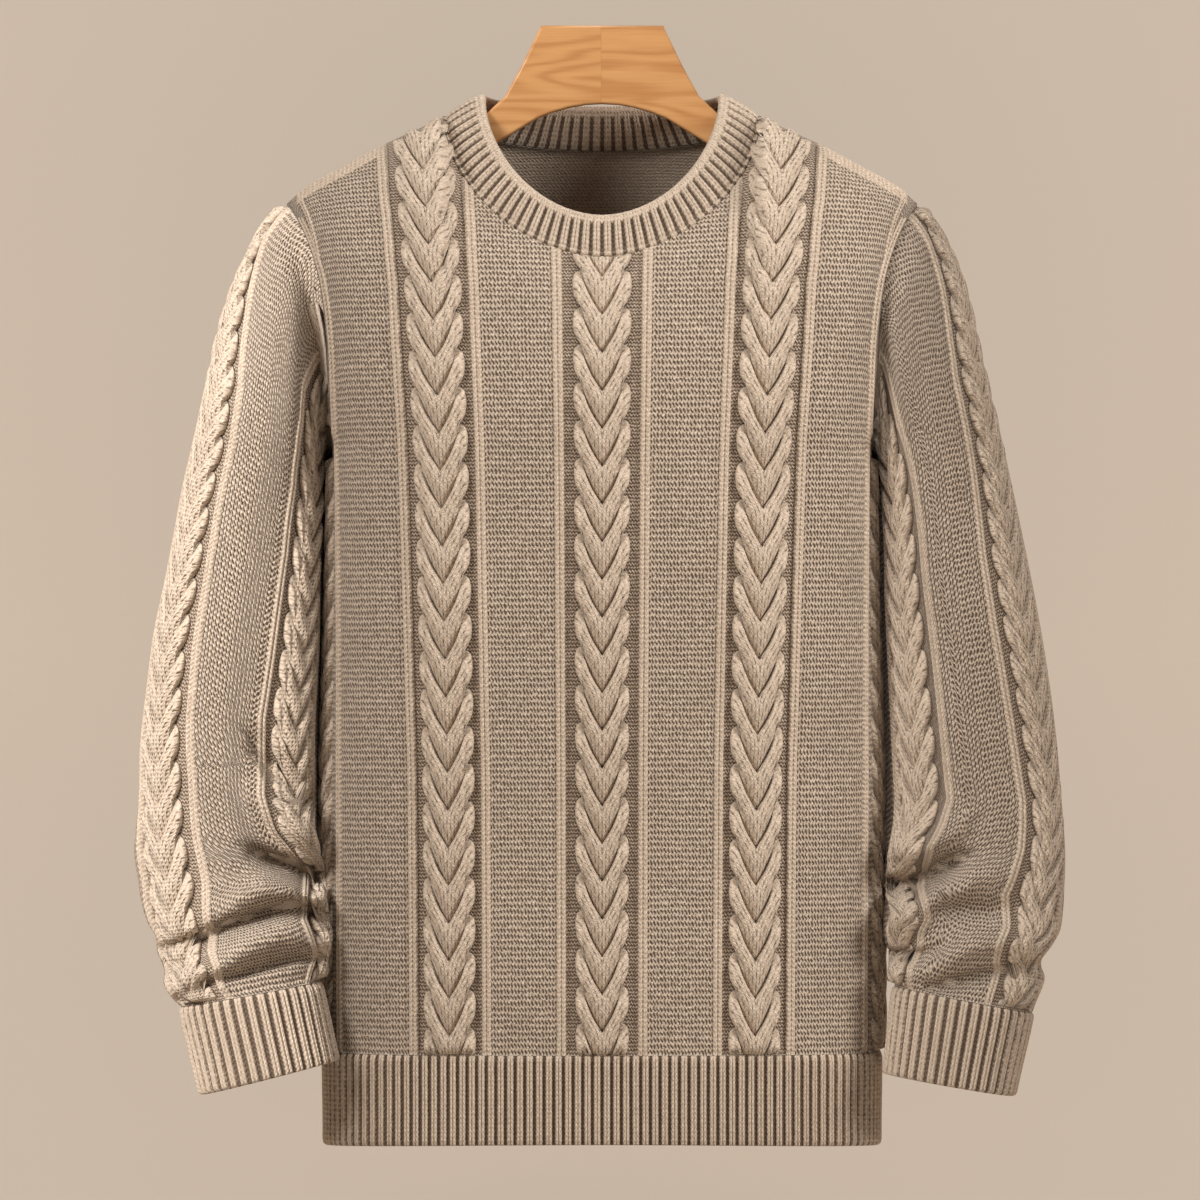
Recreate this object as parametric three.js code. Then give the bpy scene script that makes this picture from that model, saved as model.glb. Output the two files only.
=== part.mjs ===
// Cable knit sweater on a plain wooden hanger, filled out and hollow.
// Millimetres, +Z up, the front faces -Y, right and left are the wearer's.
// The origin is the middle of the hanger's flat top face.
import * as THREE from "three";

// Cloth
const wall = 2.4;
const seamGap = 0.4;
const armholeGap = 0.9;
const cuffGap = 0.9;
const cableHeight = 3;
const ribHeight = 1.4;

// Torso
const sectionPower = 3;
const underarmZ = -287;
const panelBottomZ = -696;
const hemBottomZ = -760;
const hemLift = 4;
const armholeSpread = 40;
const shoulderPower = 2.5;
const refHalf = 183;
const refDepth = 100;

// Half width, half depth and fan of the knit columns at each height
const torsoRows = [
  { z: -760, half: 188, depth: 96, fan: 0.965 },
  { z: -696, half: 188.5, depth: 96, fan: 0.965 },
  { z: -510, half: 188, depth: 97, fan: 0.975 },
  { z: -460, half: 186.5, depth: 98, fan: 0.985 },
  { z: -390, half: 184.5, depth: 99, fan: 1 },
  { z: -287, half: 183, depth: 100, fan: 1.025 },
  { z: -243, half: 184, depth: 100, fan: 1.045 },
  { z: -212, half: 185.5, depth: 100, fan: 1.06 },
  { z: -178, half: 190, depth: 100, fan: 1.075 },
  { z: -159, half: 195, depth: 100, fan: 1.09 },
  { z: -142, half: 201.5, depth: 100, fan: 1.1 },
  { z: -130, half: 208, depth: 100, fan: 1.11 },
  { z: -121, half: 214.5, depth: 100, fan: 1.12 },
  { z: -60, half: 250, depth: 100, fan: 1.155 },
];

// Shoulder line from the neck to the sleeve
const shoulderRows = [
  { x: 100, z: -58.5 },
  { x: 107.4, z: -62 },
  { x: 135, z: -74.5 },
  { x: 148, z: -80.5 },
  { x: 175, z: -95 },
  { x: 201, z: -109.5 },
  { x: 214.5, z: -121 },
];

// Neck
const neckHalf = 107.4;
const neckSideZ = -62;
const neckPower = 1.8;
const neck = {
  front: { side: -1, drop: 96, lift: 42 },
  back: { side: 1, drop: 20, lift: 38 },
};
const band = { thick: 4, half: 80, sideZ: -46, ribs: 80, ridge: 1.5 };
const bandTop = { front: { y: 59, z: -130 }, back: { y: 50, z: -52 } };

// Cables: a stack of chevrons pointing down
const cable = { half: 20, period: 25.3, vZ: -402 };
const sideCable = 224;
const bodyCables = [0, 106.5];

// Rib and panel columns across half of a panel, from the middle outwards
const stripRows = [
  { s: 28, form: "rib" },
  { s: 32, form: "plain" },
  { s: 43, form: "plain" },
  { s: 54, form: "plain" },
  { s: 65, form: "plain" },
  { s: 76, form: "plain" },
  { s: 80.5, form: "rib" },
  { s: 89.5, form: "slope" },
  { s: 91.7, form: "slope" },
  { s: 132, form: "rib" },
  { s: 136, form: "plain" },
  { s: 150, form: "plain" },
  { s: 164, form: "plain" },
  { s: 178, form: "plain" },
  { s: 191, form: "plain" },
  { s: 196, form: "rib" },
];

// Sleeves: the outer and inner outline points of each ring, its depth and place
const rightSleeve = [
  { outX: -218, outZ: -121, inX: -183.4, inZ: -287, depth: 57, y: 0 },
  { outX: -231, outZ: -143, inX: -187, inZ: -292, depth: 60, y: 0 },
  { outX: -242, outZ: -165, inX: -189, inZ: -297, depth: 62, y: 0 },
  { outX: -252, outZ: -190, inX: -190, inZ: -303, depth: 63, y: 0 },
  { outX: -262, outZ: -219, inX: -190.5, inZ: -311, depth: 62, y: -1 },
  { outX: -270, outZ: -251, inX: -191, inZ: -321, depth: 60, y: -2 },
  { outX: -277, outZ: -283, inX: -191, inZ: -333, depth: 58, y: -4 },
  { outX: -284, outZ: -314, inX: -191.5, inZ: -348, depth: 56, y: -7 },
  { outX: -290, outZ: -347, inX: -192, inZ: -367, depth: 54, y: -10 },
  { outX: -296, outZ: -379, inX: -192, inZ: -390, depth: 52, y: -14 },
  { outX: -303, outZ: -413, inX: -192, inZ: -419, depth: 49, y: -18 },
  { outX: -308, outZ: -452, inX: -193, inZ: -452, depth: 46, y: -22 },
  { outX: -312, outZ: -489, inX: -194, inZ: -485, depth: 43, y: -27 },
  { outX: -313, outZ: -520, inX: -194, inZ: -515, depth: 41, y: -31 },
  { outX: -315, outZ: -544, inX: -195, inZ: -540, depth: 40, y: -35 },
  { outX: -316, outZ: -562, inX: -199, inZ: -558, depth: 39, y: -39 },
  { outX: -313, outZ: -581, inX: -205, inZ: -572, depth: 38, y: -43 },
  { outX: -311, outZ: -594, inX: -197, inZ: -585, depth: 39, y: -46 },
  { outX: -307, outZ: -607, inX: -190, inZ: -598, depth: 39, y: -49 },
  { outX: -301, outZ: -618, inX: -188, inZ: -609, depth: 39, y: -51 },
  { outX: -302, outZ: -630, inX: -186, inZ: -620, depth: 39, y: -54 },
  { outX: -296, outZ: -641, inX: -186, inZ: -629, depth: 39, y: -56 },
  { outX: -295, outZ: -650, inX: -188, inZ: -636, depth: 39, y: -58 },
  { outX: -289, outZ: -659, inX: -190, inZ: -643, depth: 38, y: -60 },
  { outX: -284, outZ: -664, inX: -190, inZ: -647, depth: 38, y: -62 },
];
const leftSleeve = [
  { outX: 214.9, outZ: -121, inX: 183.4, inZ: -287, depth: 57, y: 0 },
  { outX: 226, outZ: -139, inX: 187, inZ: -292, depth: 60, y: 0 },
  { outX: 236, outZ: -159, inX: 189, inZ: -297, depth: 62, y: 0 },
  { outX: 245, outZ: -183, inX: 190, inZ: -303, depth: 63, y: 0 },
  { outX: 253, outZ: -212, inX: 190.5, inZ: -311, depth: 62, y: -1 },
  { outX: 261, outZ: -244, inX: 191, inZ: -321, depth: 60, y: -2 },
  { outX: 269, outZ: -276, inX: 191, inZ: -333, depth: 58, y: -4 },
  { outX: 276, outZ: -307, inX: 191.5, inZ: -348, depth: 56, y: -7 },
  { outX: 283, outZ: -339, inX: 192, inZ: -367, depth: 54, y: -10 },
  { outX: 290, outZ: -373, inX: 192, inZ: -390, depth: 52, y: -14 },
  { outX: 297, outZ: -411, inX: 193, inZ: -419, depth: 49, y: -18 },
  { outX: 303, outZ: -452, inX: 194, inZ: -452, depth: 46, y: -22 },
  { outX: 307, outZ: -489, inX: 195, inZ: -485, depth: 43, y: -27 },
  { outX: 309, outZ: -518, inX: 196, inZ: -515, depth: 41, y: -31 },
  { outX: 311, outZ: -544, inX: 197, inZ: -540, depth: 40, y: -35 },
  { outX: 312, outZ: -564, inX: 199, inZ: -558, depth: 39, y: -39 },
  { outX: 312, outZ: -585, inX: 205, inZ: -573, depth: 38, y: -43 },
  { outX: 311, outZ: -600, inX: 201, inZ: -588, depth: 39, y: -46 },
  { outX: 309, outZ: -613, inX: 196, inZ: -600, depth: 39, y: -49 },
  { outX: 304, outZ: -623, inX: 194, inZ: -612, depth: 39, y: -51 },
  { outX: 299, outZ: -634, inX: 197, inZ: -623, depth: 39, y: -54 },
  { outX: 299, outZ: -644, inX: 198, inZ: -632, depth: 39, y: -56 },
  { outX: 296, outZ: -653, inX: 197, inZ: -639, depth: 39, y: -58 },
  { outX: 292, outZ: -662, inX: 197, inZ: -646, depth: 38, y: -60 },
  { outX: 290, outZ: -668, inX: 197, inZ: -650, depth: 38, y: -62 },
];
const rightCuff = { outX: -270, outZ: -723, inX: -178, inZ: -700, depth: 38, y: -70 };
const leftCuff = { outX: 277, outZ: -724, inX: 190, inZ: -709, depth: 38, y: -70 };
const cuffRibs = 38;
const cuffRidge = 1.5;

// Sleeve columns by angle: 0 outside, 90 front, 180 towards the body, 270 back
const sleeveCables = [34, 138, 291];
const sleeveCableHalf = 20;
const sleeveStrips = [
  { at: 2, form: "plain" },
  { at: 7, form: "rib" },
  { at: 61, form: "rib" },
  { at: 65, form: "plain" },
  { at: 79, form: "plain" },
  { at: 93, form: "plain" },
  { at: 108, form: "plain" },
  { at: 112, form: "rib" },
  { at: 163, form: "rib" },
  { at: 168, form: "plain" },
  { at: 180, form: "plain" },
  { at: 200, form: "plain" },
  { at: 220, form: "plain" },
  { at: 240, form: "plain" },
  { at: 260, form: "plain" },
  { at: 265, form: "rib" },
  { at: 318, form: "rib" },
  { at: 323, form: "plain" },
  { at: 338, form: "plain" },
  { at: 351, form: "plain" },
];

// Folds of the sleeves: middle angle, ring, half angle, half ring, slant and depth
const rightFolds = [
  { at: 128, ring: 12.4, span: 42, reach: 1.3, slant: 0.045, depth: -5 },
  { at: 150, ring: 15.9, span: 62, reach: 0.8, slant: -0.006, depth: -8 },
  { at: 90, ring: 18.1, span: 58, reach: 0.8, slant: -0.012, depth: -7 },
  { at: 100, ring: 16.9, span: 70, reach: 0.7, slant: -0.008, depth: 3 },
  { at: 60, ring: 22.2, span: 58, reach: 0.8, slant: -0.006, depth: -5 },
  { at: 10, ring: 20.2, span: 42, reach: 0.7, slant: 0, depth: -4 },
  { at: 250, ring: 17.4, span: 60, reach: 0.9, slant: 0.006, depth: -6 },
  { at: 215, ring: 20.8, span: 55, reach: 0.9, slant: -0.006, depth: -5 },
];
const leftFolds = [
  { at: 130, ring: 15.6, span: 60, reach: 0.8, slant: -0.012, depth: -8 },
  { at: 110, ring: 16.9, span: 60, reach: 0.8, slant: -0.01, depth: 3 },
  { at: 80, ring: 18.1, span: 62, reach: 0.8, slant: -0.01, depth: -6 },
  { at: 110, ring: 19.6, span: 60, reach: 0.7, slant: 0.004, depth: -5 },
  { at: 60, ring: 21.6, span: 55, reach: 0.8, slant: -0.006, depth: -5 },
  { at: 10, ring: 20.1, span: 40, reach: 0.8, slant: 0, depth: -5 },
  { at: 255, ring: 17.2, span: 60, reach: 0.9, slant: 0.006, depth: -6 },
  { at: 225, ring: 20.6, span: 55, reach: 0.9, slant: -0.006, depth: -5 },
];

// Hem
const hemRibs = 72;
const hemRidge = 1.5;

// Hanger board: half outline, then thickness and edge bevel
const hangerRows = [
  { x: 41.5, z: 0 },
  { x: 55, z: -28 },
  { x: 66, z: -48 },
  { x: 80, z: -61 },
  { x: 107, z: -74 },
  { x: 135, z: -79.5 },
  { x: 148, z: -85.3 },
  { x: 175, z: -100.5 },
  { x: 184, z: -107 },
  { x: 187, z: -118 },
  { x: 180, z: -129 },
  { x: 150, z: -120 },
  { x: 107, z: -101 },
  { x: 75, z: -82 },
  { x: 44, z: -63 },
  { x: 22, z: -55.5 },
];
const hangerMiddleZ = -53;
const hangerThick = 13;
const hangerBevel = 2.2;

const yarnColour = "#b39c84";
const ribColour = "#ac957d";
const woodColour = "#d2945a";

// Helpers
const clamp = (v, low, high) => Math.min(Math.max(v, low), high);
const mix = (a, b, t) => a + (b - a) * t;
const ease = (low, high, v) => {
  const t = clamp((v - low) / (high - low), 0, 1);
  return t * t * (3 - 2 * t);
};
const rad = (degrees) => (degrees * Math.PI) / 180;
const bend = (v, power) => Math.sign(v) * Math.abs(v) ** power;
const steps = (count) => Array.from({ length: count + 1 }, (_, i) => i / count);
const unit = (v) => v.clone().normalize();

// A smooth function through one column of a table
function track(rows, by, field) {
  const t = rows.map((row) => row[by]);
  const v = rows.map((row) => row[field]);
  const last = v.length - 1;
  const slope = v.map((_, i) => {
    const a = Math.max(i - 1, 0);
    const b = Math.min(i + 1, last);
    return (v[b] - v[a]) / (t[b] - t[a]);
  });
  return (at) => {
    let i = 0;
    while (i < last - 1 && at > t[i + 1]) i += 1;
    const span = t[i + 1] - t[i];
    const u = clamp((at - t[i]) / span, 0, 1);
    const w = u * u * (3 - 2 * u);
    const rise = span * u * (1 - u) * ((1 - u) * slope[i] - u * slope[i + 1]);
    return mix(v[i], v[i + 1], w) + rise;
  };
}

// A closed surface put together from rows of points
class Skin {
  constructor() {
    this.points = [];
    this.faces = [];
  }

  add(point) {
    this.points.push(point);
    return this.points.length - 1;
  }

  // Fills the strip between two lines of {id, key}, the left one first
  zip(left, right) {
    let i = 0;
    let j = 0;
    while (i < left.length - 1 || j < right.length - 1) {
      const a = i < left.length - 1 ? left[i].key + left[i + 1].key : Infinity;
      const b = j < right.length - 1 ? right[j].key + right[j + 1].key : Infinity;
      const next = a <= b ? left[i + 1].id : right[j + 1].id;
      this.faces.push(left[i].id, right[j].id, next);
      if (a <= b) i += 1;
      else j += 1;
    }
  }

  mesh(name, colour, roughness) {
    const geometry = new THREE.BufferGeometry();
    const flat = this.points.flatMap((p) => [p.x, p.y, p.z]);
    geometry.setAttribute("position", new THREE.Float32BufferAttribute(flat, 3));
    geometry.setIndex(this.faces);
    return named(geometry, name, colour, roughness);
  }
}

function named(geometry, name, colour, roughness) {
  geometry.computeVertexNormals();
  const material = new THREE.MeshStandardMaterial({ color: colour, roughness, metalness: 0 });
  const mesh = new THREE.Mesh(geometry, material);
  mesh.name = name;
  return mesh;
}

const keyed = (line, by) => line.map((v) => ({ id: v.id, key: v[by] }));
const shifted = (line, by, shift) => line.map((v) => ({ id: v.id, key: v[by] + shift }));

// Torso form
const halfAt = track(torsoRows, "z", "half");
const depthAt = track(torsoRows, "z", "depth");
const fanAt = track(torsoRows, "z", "fan");
const shoulderAt = track(shoulderRows, "x", "z");

function neckEdge(x, cut) {
  const u = clamp(Math.abs(x) / neckHalf, 0, 1);
  return neckSideZ - cut.drop * (1 - u ** neckPower) ** (1 / neckPower);
}

function topAt(x, cut) {
  return Math.abs(x) < neckHalf ? neckEdge(x, cut) : shoulderAt(Math.abs(x));
}

// The height where front and back would meet if the neck weren't cut out
function ridgeAt(x, cut) {
  const u = clamp(Math.abs(x) / neckHalf, 0, 1);
  return topAt(x, cut) + cut.lift * (1 - u * u) ** 0.85;
}

// How far the cloth is from the middle plane
function depthOf(x, z, cut) {
  const rise = clamp((z - underarmZ) / (ridgeAt(x, cut) - underarmZ), 0, 1);
  const half = z > underarmZ ? refHalf + armholeSpread * rise : halfAt(z);
  const u = clamp(Math.abs(x) / half, 0, 1);
  const arch = Math.sqrt(1 - rise ** shoulderPower);
  return depthAt(z) * (1 - u ** sectionPower) ** (1 / sectionPower) * arch;
}

// The width where each length of cloth from the middle falls, at the underarm
const widthRows = [{ s: 0, x: 0 }];
for (const t of steps(400).slice(1)) {
  const last = widthRows[widthRows.length - 1];
  const turn = (t * Math.PI) / 2;
  const x = refHalf * Math.sin(turn) ** (2 / sectionPower);
  const y = refDepth * Math.cos(turn) ** (2 / sectionPower);
  const before = last.y ?? refDepth;
  widthRows.push({ s: last.s + Math.hypot(x - last.x, y - before), x, y });
}
const sideSeam = widthRows[widthRows.length - 1].s;

function widthOf(s) {
  const at = Math.abs(s);
  const i = clamp(widthRows.findIndex((row) => row.s >= at), 1, widthRows.length - 1);
  const a = widthRows[i - 1];
  const b = widthRows[i];
  return Math.sign(s) * mix(a.x, b.x, clamp((at - a.s) / (b.s - a.s), 0, 1));
}

function acrossAt(s, z) {
  const edge = ease(150, sideSeam, Math.abs(s));
  return widthOf(s) * mix(fanAt(z), halfAt(z) / refHalf, edge);
}

// The height where a knit column ends at the neck or shoulder
function columnTop(s, cut) {
  let low = underarmZ;
  let high = -60;
  for (let i = 0; i < 40; i += 1) {
    const z = (low + high) / 2;
    if (topAt(acrossAt(s, z), cut) > z) low = z;
    else high = z;
  }
  return low;
}

// A point of the cloth without its knit relief, and the way it faces
function torsoPoint(s, z, cut) {
  const x = acrossAt(s, z);
  const depth = depthOf(x, z, cut);
  const step = 0.5;
  const inward = Math.abs(x) - step;
  const alongX = (depth - depthOf(inward, z, cut)) / step;
  const alongZ = (depth - depthOf(x, z - step, cut)) / step;
  const normal = new THREE.Vector3(-alongX * Math.sign(x), cut.side, -alongZ).normalize();
  const y = cut.side * Math.max(depth, seamGap / 2);
  return { point: new THREE.Vector3(x, y, z), normal };
}

// Cable relief: u is the distance from the cable's middle, in half widths
const chevronRise = (u) => cable.period * (Math.abs(u) + 0.4 * Math.abs(u) ** 3);

function cableRelief(u, along) {
  const turn = (along - chevronRise(u)) / cable.period;
  const swell = 0.5 + 0.5 * Math.cos(2 * Math.PI * turn);
  const body = Math.abs(u) < 0.3 ? 0.45 : 1;
  return cableHeight * body * mix(0.3, 1, swell) * (Math.abs(u) > 0.99 ? 0 : 1);
}

// The column that meets the corner of neck and shoulder
function cornerColumn() {
  const rows = steps(400).map((t) => ({ s: 80 + 20 * t, x: acrossAt(80 + 20 * t, neckSideZ) }));
  return rows.find((row) => row.x > neckHalf).s;
}

const corner = cornerColumn();
const innerShare = (bodyCables[1] - corner) / cable.half;

// Panels
function cableColumns(middle, half) {
  const places = [-1, -innerShare, 0, innerShare, 1];
  return places.map((u) => ({ s: middle + u * half, u, form: Math.abs(u) === 1 ? "plain" : "cable" }));
}

function panelColumns(cut) {
  const half = [...stripRows];
  for (const middle of bodyCables) half.push(...cableColumns(middle, cable.half));
  if (cut === neck.front) half.push(...cableColumns(sideCable, cable.half).slice(0, 4));
  else half.push({ s: 204, form: "plain" }, { s: 224, form: "plain" });
  half.push({ s: sideSeam, form: "plain" });
  const right = half.filter((column) => column.s > 0.1);
  const left = right.map((column) => ({ ...column, s: -column.s }));
  const all = [...left, { s: 0, u: 0, form: "cable" }, ...right];
  return all.sort((a, b) => a.s - b.s);
}

const plainHeights = [-696, -600, -510, -450, -390, -330];
const upperParts = [0, 0.1, 0.22, 0.34, 0.46, 0.58, 0.7, 0.82, 0.92, 1];
const partHeight = (v, top) => underarmZ + (top - underarmZ) * (1 - (1 - v) ** 1.6);

function columnHeights(column, top) {
  if (column.form !== "cable") {
    return [...plainHeights, ...upperParts.map((v) => partHeight(v, top))];
  }
  const half = cable.period / 2;
  const phase = cable.vZ + chevronRise(column.u);
  const first = Math.ceil((panelBottomZ + 4 - phase) / half);
  const heights = [panelBottomZ];
  for (let k = first; phase + k * half < top - 6; k += 1) heights.push(phase + k * half);
  return [...heights, top - 2.5, top];
}

function panelRelief(column, z, top) {
  const edge = ease(top, top - 8, z) * ease(panelBottomZ, panelBottomZ + 4, z);
  if (column.form === "rib") return ribHeight * edge;
  if (column.form === "slope") {
    const share = (Math.abs(column.s) - bodyCables[1] + cable.half) / (1 - innerShare);
    return (0.6 * cableHeight * edge * share) / cable.half;
  }
  if (column.form !== "cable") return 0;
  const fade = Math.abs(column.s) > 190 ? 1 - ease(underarmZ - 34, underarmZ - 6, z) : 1;
  return edge * fade * cableRelief(column.u, z - cable.vZ);
}

// The inner point of a wall, kept in the plane of the seam that it lies on
function innerPoint(s, z, top, cut) {
  const { point, normal } = torsoPoint(s, z, cut);
  const atSide = Math.abs(s) > sideSeam - 0.01;
  const onShoulder = z > top - 0.01 && Math.abs(point.x) >= neckHalf;
  if ((atSide && z <= underarmZ + 0.01) || onShoulder) normal.y = 0;
  else if (atSide) normal.x = 0;
  if (z < panelBottomZ + 0.01) normal.z = 0;
  if (atSide && onShoulder) return point.add(new THREE.Vector3(0, 0, -wall));
  return point.addScaledVector(unit(normal), -wall);
}

const innerPlaces = [0, 15, 30, 43, 55, 67, 78, 87, corner, 115, 140, 160, 178, 195, 211, 228];
const innerHeights = [-696, -510, -390];
const innerParts = [0, 0.16, 0.34, 0.52, 0.7, 0.84, 0.94, 1];

function innerLines(skin, cut) {
  const right = [...innerPlaces, sideSeam];
  const places = [...right.slice(1).map((s) => -s).reverse(), ...right];
  return places.map((s) => {
    const top = columnTop(s, cut);
    const heights = [...innerHeights, ...innerParts.map((v) => partHeight(v, top))];
    return heights.map((z) => ({ id: skin.add(innerPoint(s, z, top, cut)), z, s }));
  });
}

function panel(name, cut) {
  const skin = new Skin();
  const columns = panelColumns(cut);
  const lines = columns.map((column) => {
    const top = columnTop(column.s, cut);
    return columnHeights(column, top).map((z) => {
      const { point, normal } = torsoPoint(column.s, z, cut);
      point.addScaledVector(normal, panelRelief(column, z, top));
      return { id: skin.add(point), z, s: column.s };
    });
  });
  const inner = innerLines(skin, cut);
  closePanel(skin, lines, inner, columns, cut.side < 0);
  return skin.mesh(name, yarnColour, 0.95);
}

function chevronKeys(line, column, near) {
  const both = column.form === "cable" && near.form === "cable";
  return shifted(line, "z", both ? -chevronRise(column.u) : 0);
}

function closePanel(skin, outer, inner, columns, facesFront) {
  const join = (a, b) => (facesFront ? skin.zip(a, b) : skin.zip(b, a));
  for (let i = 0; i < outer.length - 1; i += 1) {
    const a = chevronKeys(outer[i], columns[i], columns[i + 1]);
    const b = chevronKeys(outer[i + 1], columns[i + 1], columns[i]);
    join(a, b);
  }
  for (let i = 0; i < inner.length - 1; i += 1) {
    join(keyed(inner[i + 1], "z"), keyed(inner[i], "z"));
  }
  const ends = (lines, at) => keyed(lines.map((line) => line.at(at)), "s");
  join(ends(outer, 0), ends(inner, 0));
  join(ends(inner, -1), ends(outer, -1));
  join(keyed(outer.at(-1), "z"), keyed(inner.at(-1), "z"));
  join(keyed(inner[0], "z"), keyed(outer[0], "z"));
}

// Rings and tubes
function closeTube(skin, outer, inner, clockwise, shift) {
  const join = (a, b) => (clockwise ? skin.zip(b, a) : skin.zip(a, b));
  outer.forEach((line, i) => {
    const next = (i + 1) % outer.length;
    join(shift(i, next), shift(next, i));
  });
  inner.forEach((line, i) => {
    join(keyed(inner[(i + 1) % inner.length], "along"), keyed(line, "along"));
  });
  const loop = (lines, at) => {
    const line = lines.map((one) => ({ id: one.at(at).id, key: one.at(at).turn }));
    return [...line, { id: line[0].id, key: line[0].key + 360 }];
  };
  join(loop(outer, 0), loop(inner, 0));
  join(loop(inner, -1), loop(outer, -1));
}

// A ring of the sleeve as a point by its angle, clear of the torso
function ringPoint(ring, angle) {
  const turn = rad(angle);
  const middle = new THREE.Vector3(ring.outX + ring.inX, 2 * ring.y, ring.outZ + ring.inZ);
  const reach = new THREE.Vector3(ring.outX - ring.inX, 0, ring.outZ - ring.inZ);
  const point = middle.multiplyScalar(0.5).addScaledVector(reach, Math.cos(turn) / 2);
  point.y -= ring.depth * Math.sin(turn);
  const side = Math.sign(ring.outX);
  const bow = new THREE.Vector3(-side * Math.abs(reach.z), 0, Math.abs(reach.x)).normalize();
  return point.addScaledVector(bow, ring.bow * Math.sin(turn) ** 2);
}

// The sleeve's own edge at the armhole
function armholePoint(side, angle) {
  const turn = rad(angle);
  const topZ = shoulderAt(214.5);
  const z = (topZ + underarmZ) / 2 + ((topZ - underarmZ) / 2) * Math.cos(turn);
  const half = halfAt(z);
  const cut = Math.sin(turn) >= 0 ? neck.front : neck.back;
  const y = Math.sin(turn) === 0 ? 0 : cut.side * depthOf(half, z, cut);
  return new THREE.Vector3(side * (half + armholeGap), y, z);
}

const lastRing = 24;

function sleeveForm(rows, folds) {
  const fields = ["outX", "outZ", "inX", "inZ", "depth", "y"];
  const numbered = rows.map((row, ring) => ({ ...row, ring }));
  const tracks = fields.map((field) => track(numbered, "ring", field));
  const side = Math.sign(rows[0].outX);
  const base = (angle, at) => {
    const ring = { bow: 13 * (1 - ease(0, 7, at)) };
    fields.forEach((field, i) => {
      ring[field] = tracks[i](at);
    });
    const point = ringPoint(ring, angle);
    return at < 1 ? point.lerp(armholePoint(side, angle), (1 - at) ** 2) : point;
  };
  const facing = (point, angle, at) => {
    const around = base(angle + 0.5, at).sub(base(angle - 0.5, at));
    const down = base(angle, Math.min(at + 0.05, lastRing)).sub(base(angle, Math.max(at - 0.05, 0)));
    return unit(around.cross(down)).multiplyScalar(side);
  };
  const foldDepth = (angle, at) => {
    let total = 0;
    for (const fold of folds) {
      const away = ((angle - fold.at + 540) % 360) - 180;
      const line = (at - fold.ring - fold.slant * away) / fold.reach;
      const window = 1 - ease(0.5, 1, Math.abs(away) / fold.span);
      total += fold.depth * window * Math.exp(-line * line);
    }
    return total * ease(lastRing, lastRing - 1, at) * ease(3, 6, at);
  };
  return (angle, at, relief) => {
    const point = base(angle, at);
    const normal = facing(point, angle, at);
    if (at === 0) normal.set(0, normal.y, normal.z).normalize();
    if (at === lastRing) normal.copy(unit(point.clone().sub(base(angle + 180, at))));
    return point.addScaledVector(normal, relief + foldDepth(angle, at));
  };
}

function sleeveColumns() {
  const all = [...sleeveStrips];
  for (const middle of sleeveCables) {
    for (const column of cableColumns(middle, sleeveCableHalf)) {
      all.push({ at: column.s, u: column.u, form: column.form });
    }
  }
  return all.sort((a, b) => a.at - b.at);
}

const sleeveRings = [0, 0.5, 1, 2, 3, 4, 5, 6, 7, 8, 9, 10, 11, 12, 13, 14, 15, 15.6, 16.2]
  .concat([16.8, 17.4, 18, 18.6, 19.2, 19.8, 20.4, 21, 21.6, 22.2, 22.8, 23.4, 24]);
const innerRings = [0, 0.5, 1, 2, 3, 4, 5, 6, 8, 10, 11, 12, 13, 14, 15, 15.6, 16.2]
  .concat([16.8, 17.4, 18, 18.6, 19.2, 19.8, 20.4, 21, 21.6, 22.2, 22.8, 23.4, 24]);

// Ring numbers at equal lengths down one angle of the sleeve
function lengthRows(form, angle) {
  const rows = [{ at: 0, length: 0 }];
  let before = form(angle, 0, 0);
  for (const t of steps(240).slice(1)) {
    const here = form(angle, t * lastRing, 0);
    const length = rows.at(-1).length + here.distanceTo(before);
    rows.push({ at: t * lastRing, length });
    before = here;
  }
  return rows;
}

function cableRings(column, lengths, atLength) {
  const half = cable.period / 2;
  const total = lengths.at(-1).length;
  const start = -chevronRise(column.u) % half;
  const rings = [];
  for (let l = start; l < total - 4; l += half) {
    if (l > 6) rings.push(atLength(l));
  }
  return [0, ...rings, lastRing];
}

function sleeve(name, rows, folds) {
  const skin = new Skin();
  const form = sleeveForm(rows, folds);
  const columns = sleeveColumns();
  const outer = columns.map((column) => {
    const lengths = lengthRows(form, column.at);
    const atLength = track(lengths, "length", "at");
    const lengthAt = track(lengths, "at", "length");
    const rings = column.form === "cable" ? cableRings(column, lengths, atLength) : sleeveRings;
    return rings.map((at) => sleeveVertex(skin, form, column, at, -lengthAt(at))).reverse();
  });
  const inner = columns.filter((column, i) => column.form !== "rib" && i % 2 === 0).map((column) =>
    innerRings.map((at) => {
      const id = skin.add(form(column.at, at, -wall));
      return { id, along: -at, turn: column.at };
    }).reverse(),
  );
  const shift = (i, next) => {
    const both = columns[i].form === "cable" && columns[next].form === "cable";
    if (!both) return keyed(outer[i], "along");
    return shifted(outer[i], "up", -chevronRise(columns[i].u));
  };
  closeTube(skin, outer, inner, rows[0].outX > 0, shift);
  return skin.mesh(name, yarnColour, 0.95);
}

function sleeveVertex(skin, form, column, at, up) {
  const edge = ease(0, 0.6, at) * ease(lastRing, lastRing - 0.8, at);
  let relief = column.form === "rib" ? ribHeight : 0;
  if (column.form === "cable") relief = cableRelief(column.u, up);
  return { id: skin.add(form(column.at, at, relief * edge)), along: -at, up, turn: column.at };
}

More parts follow.
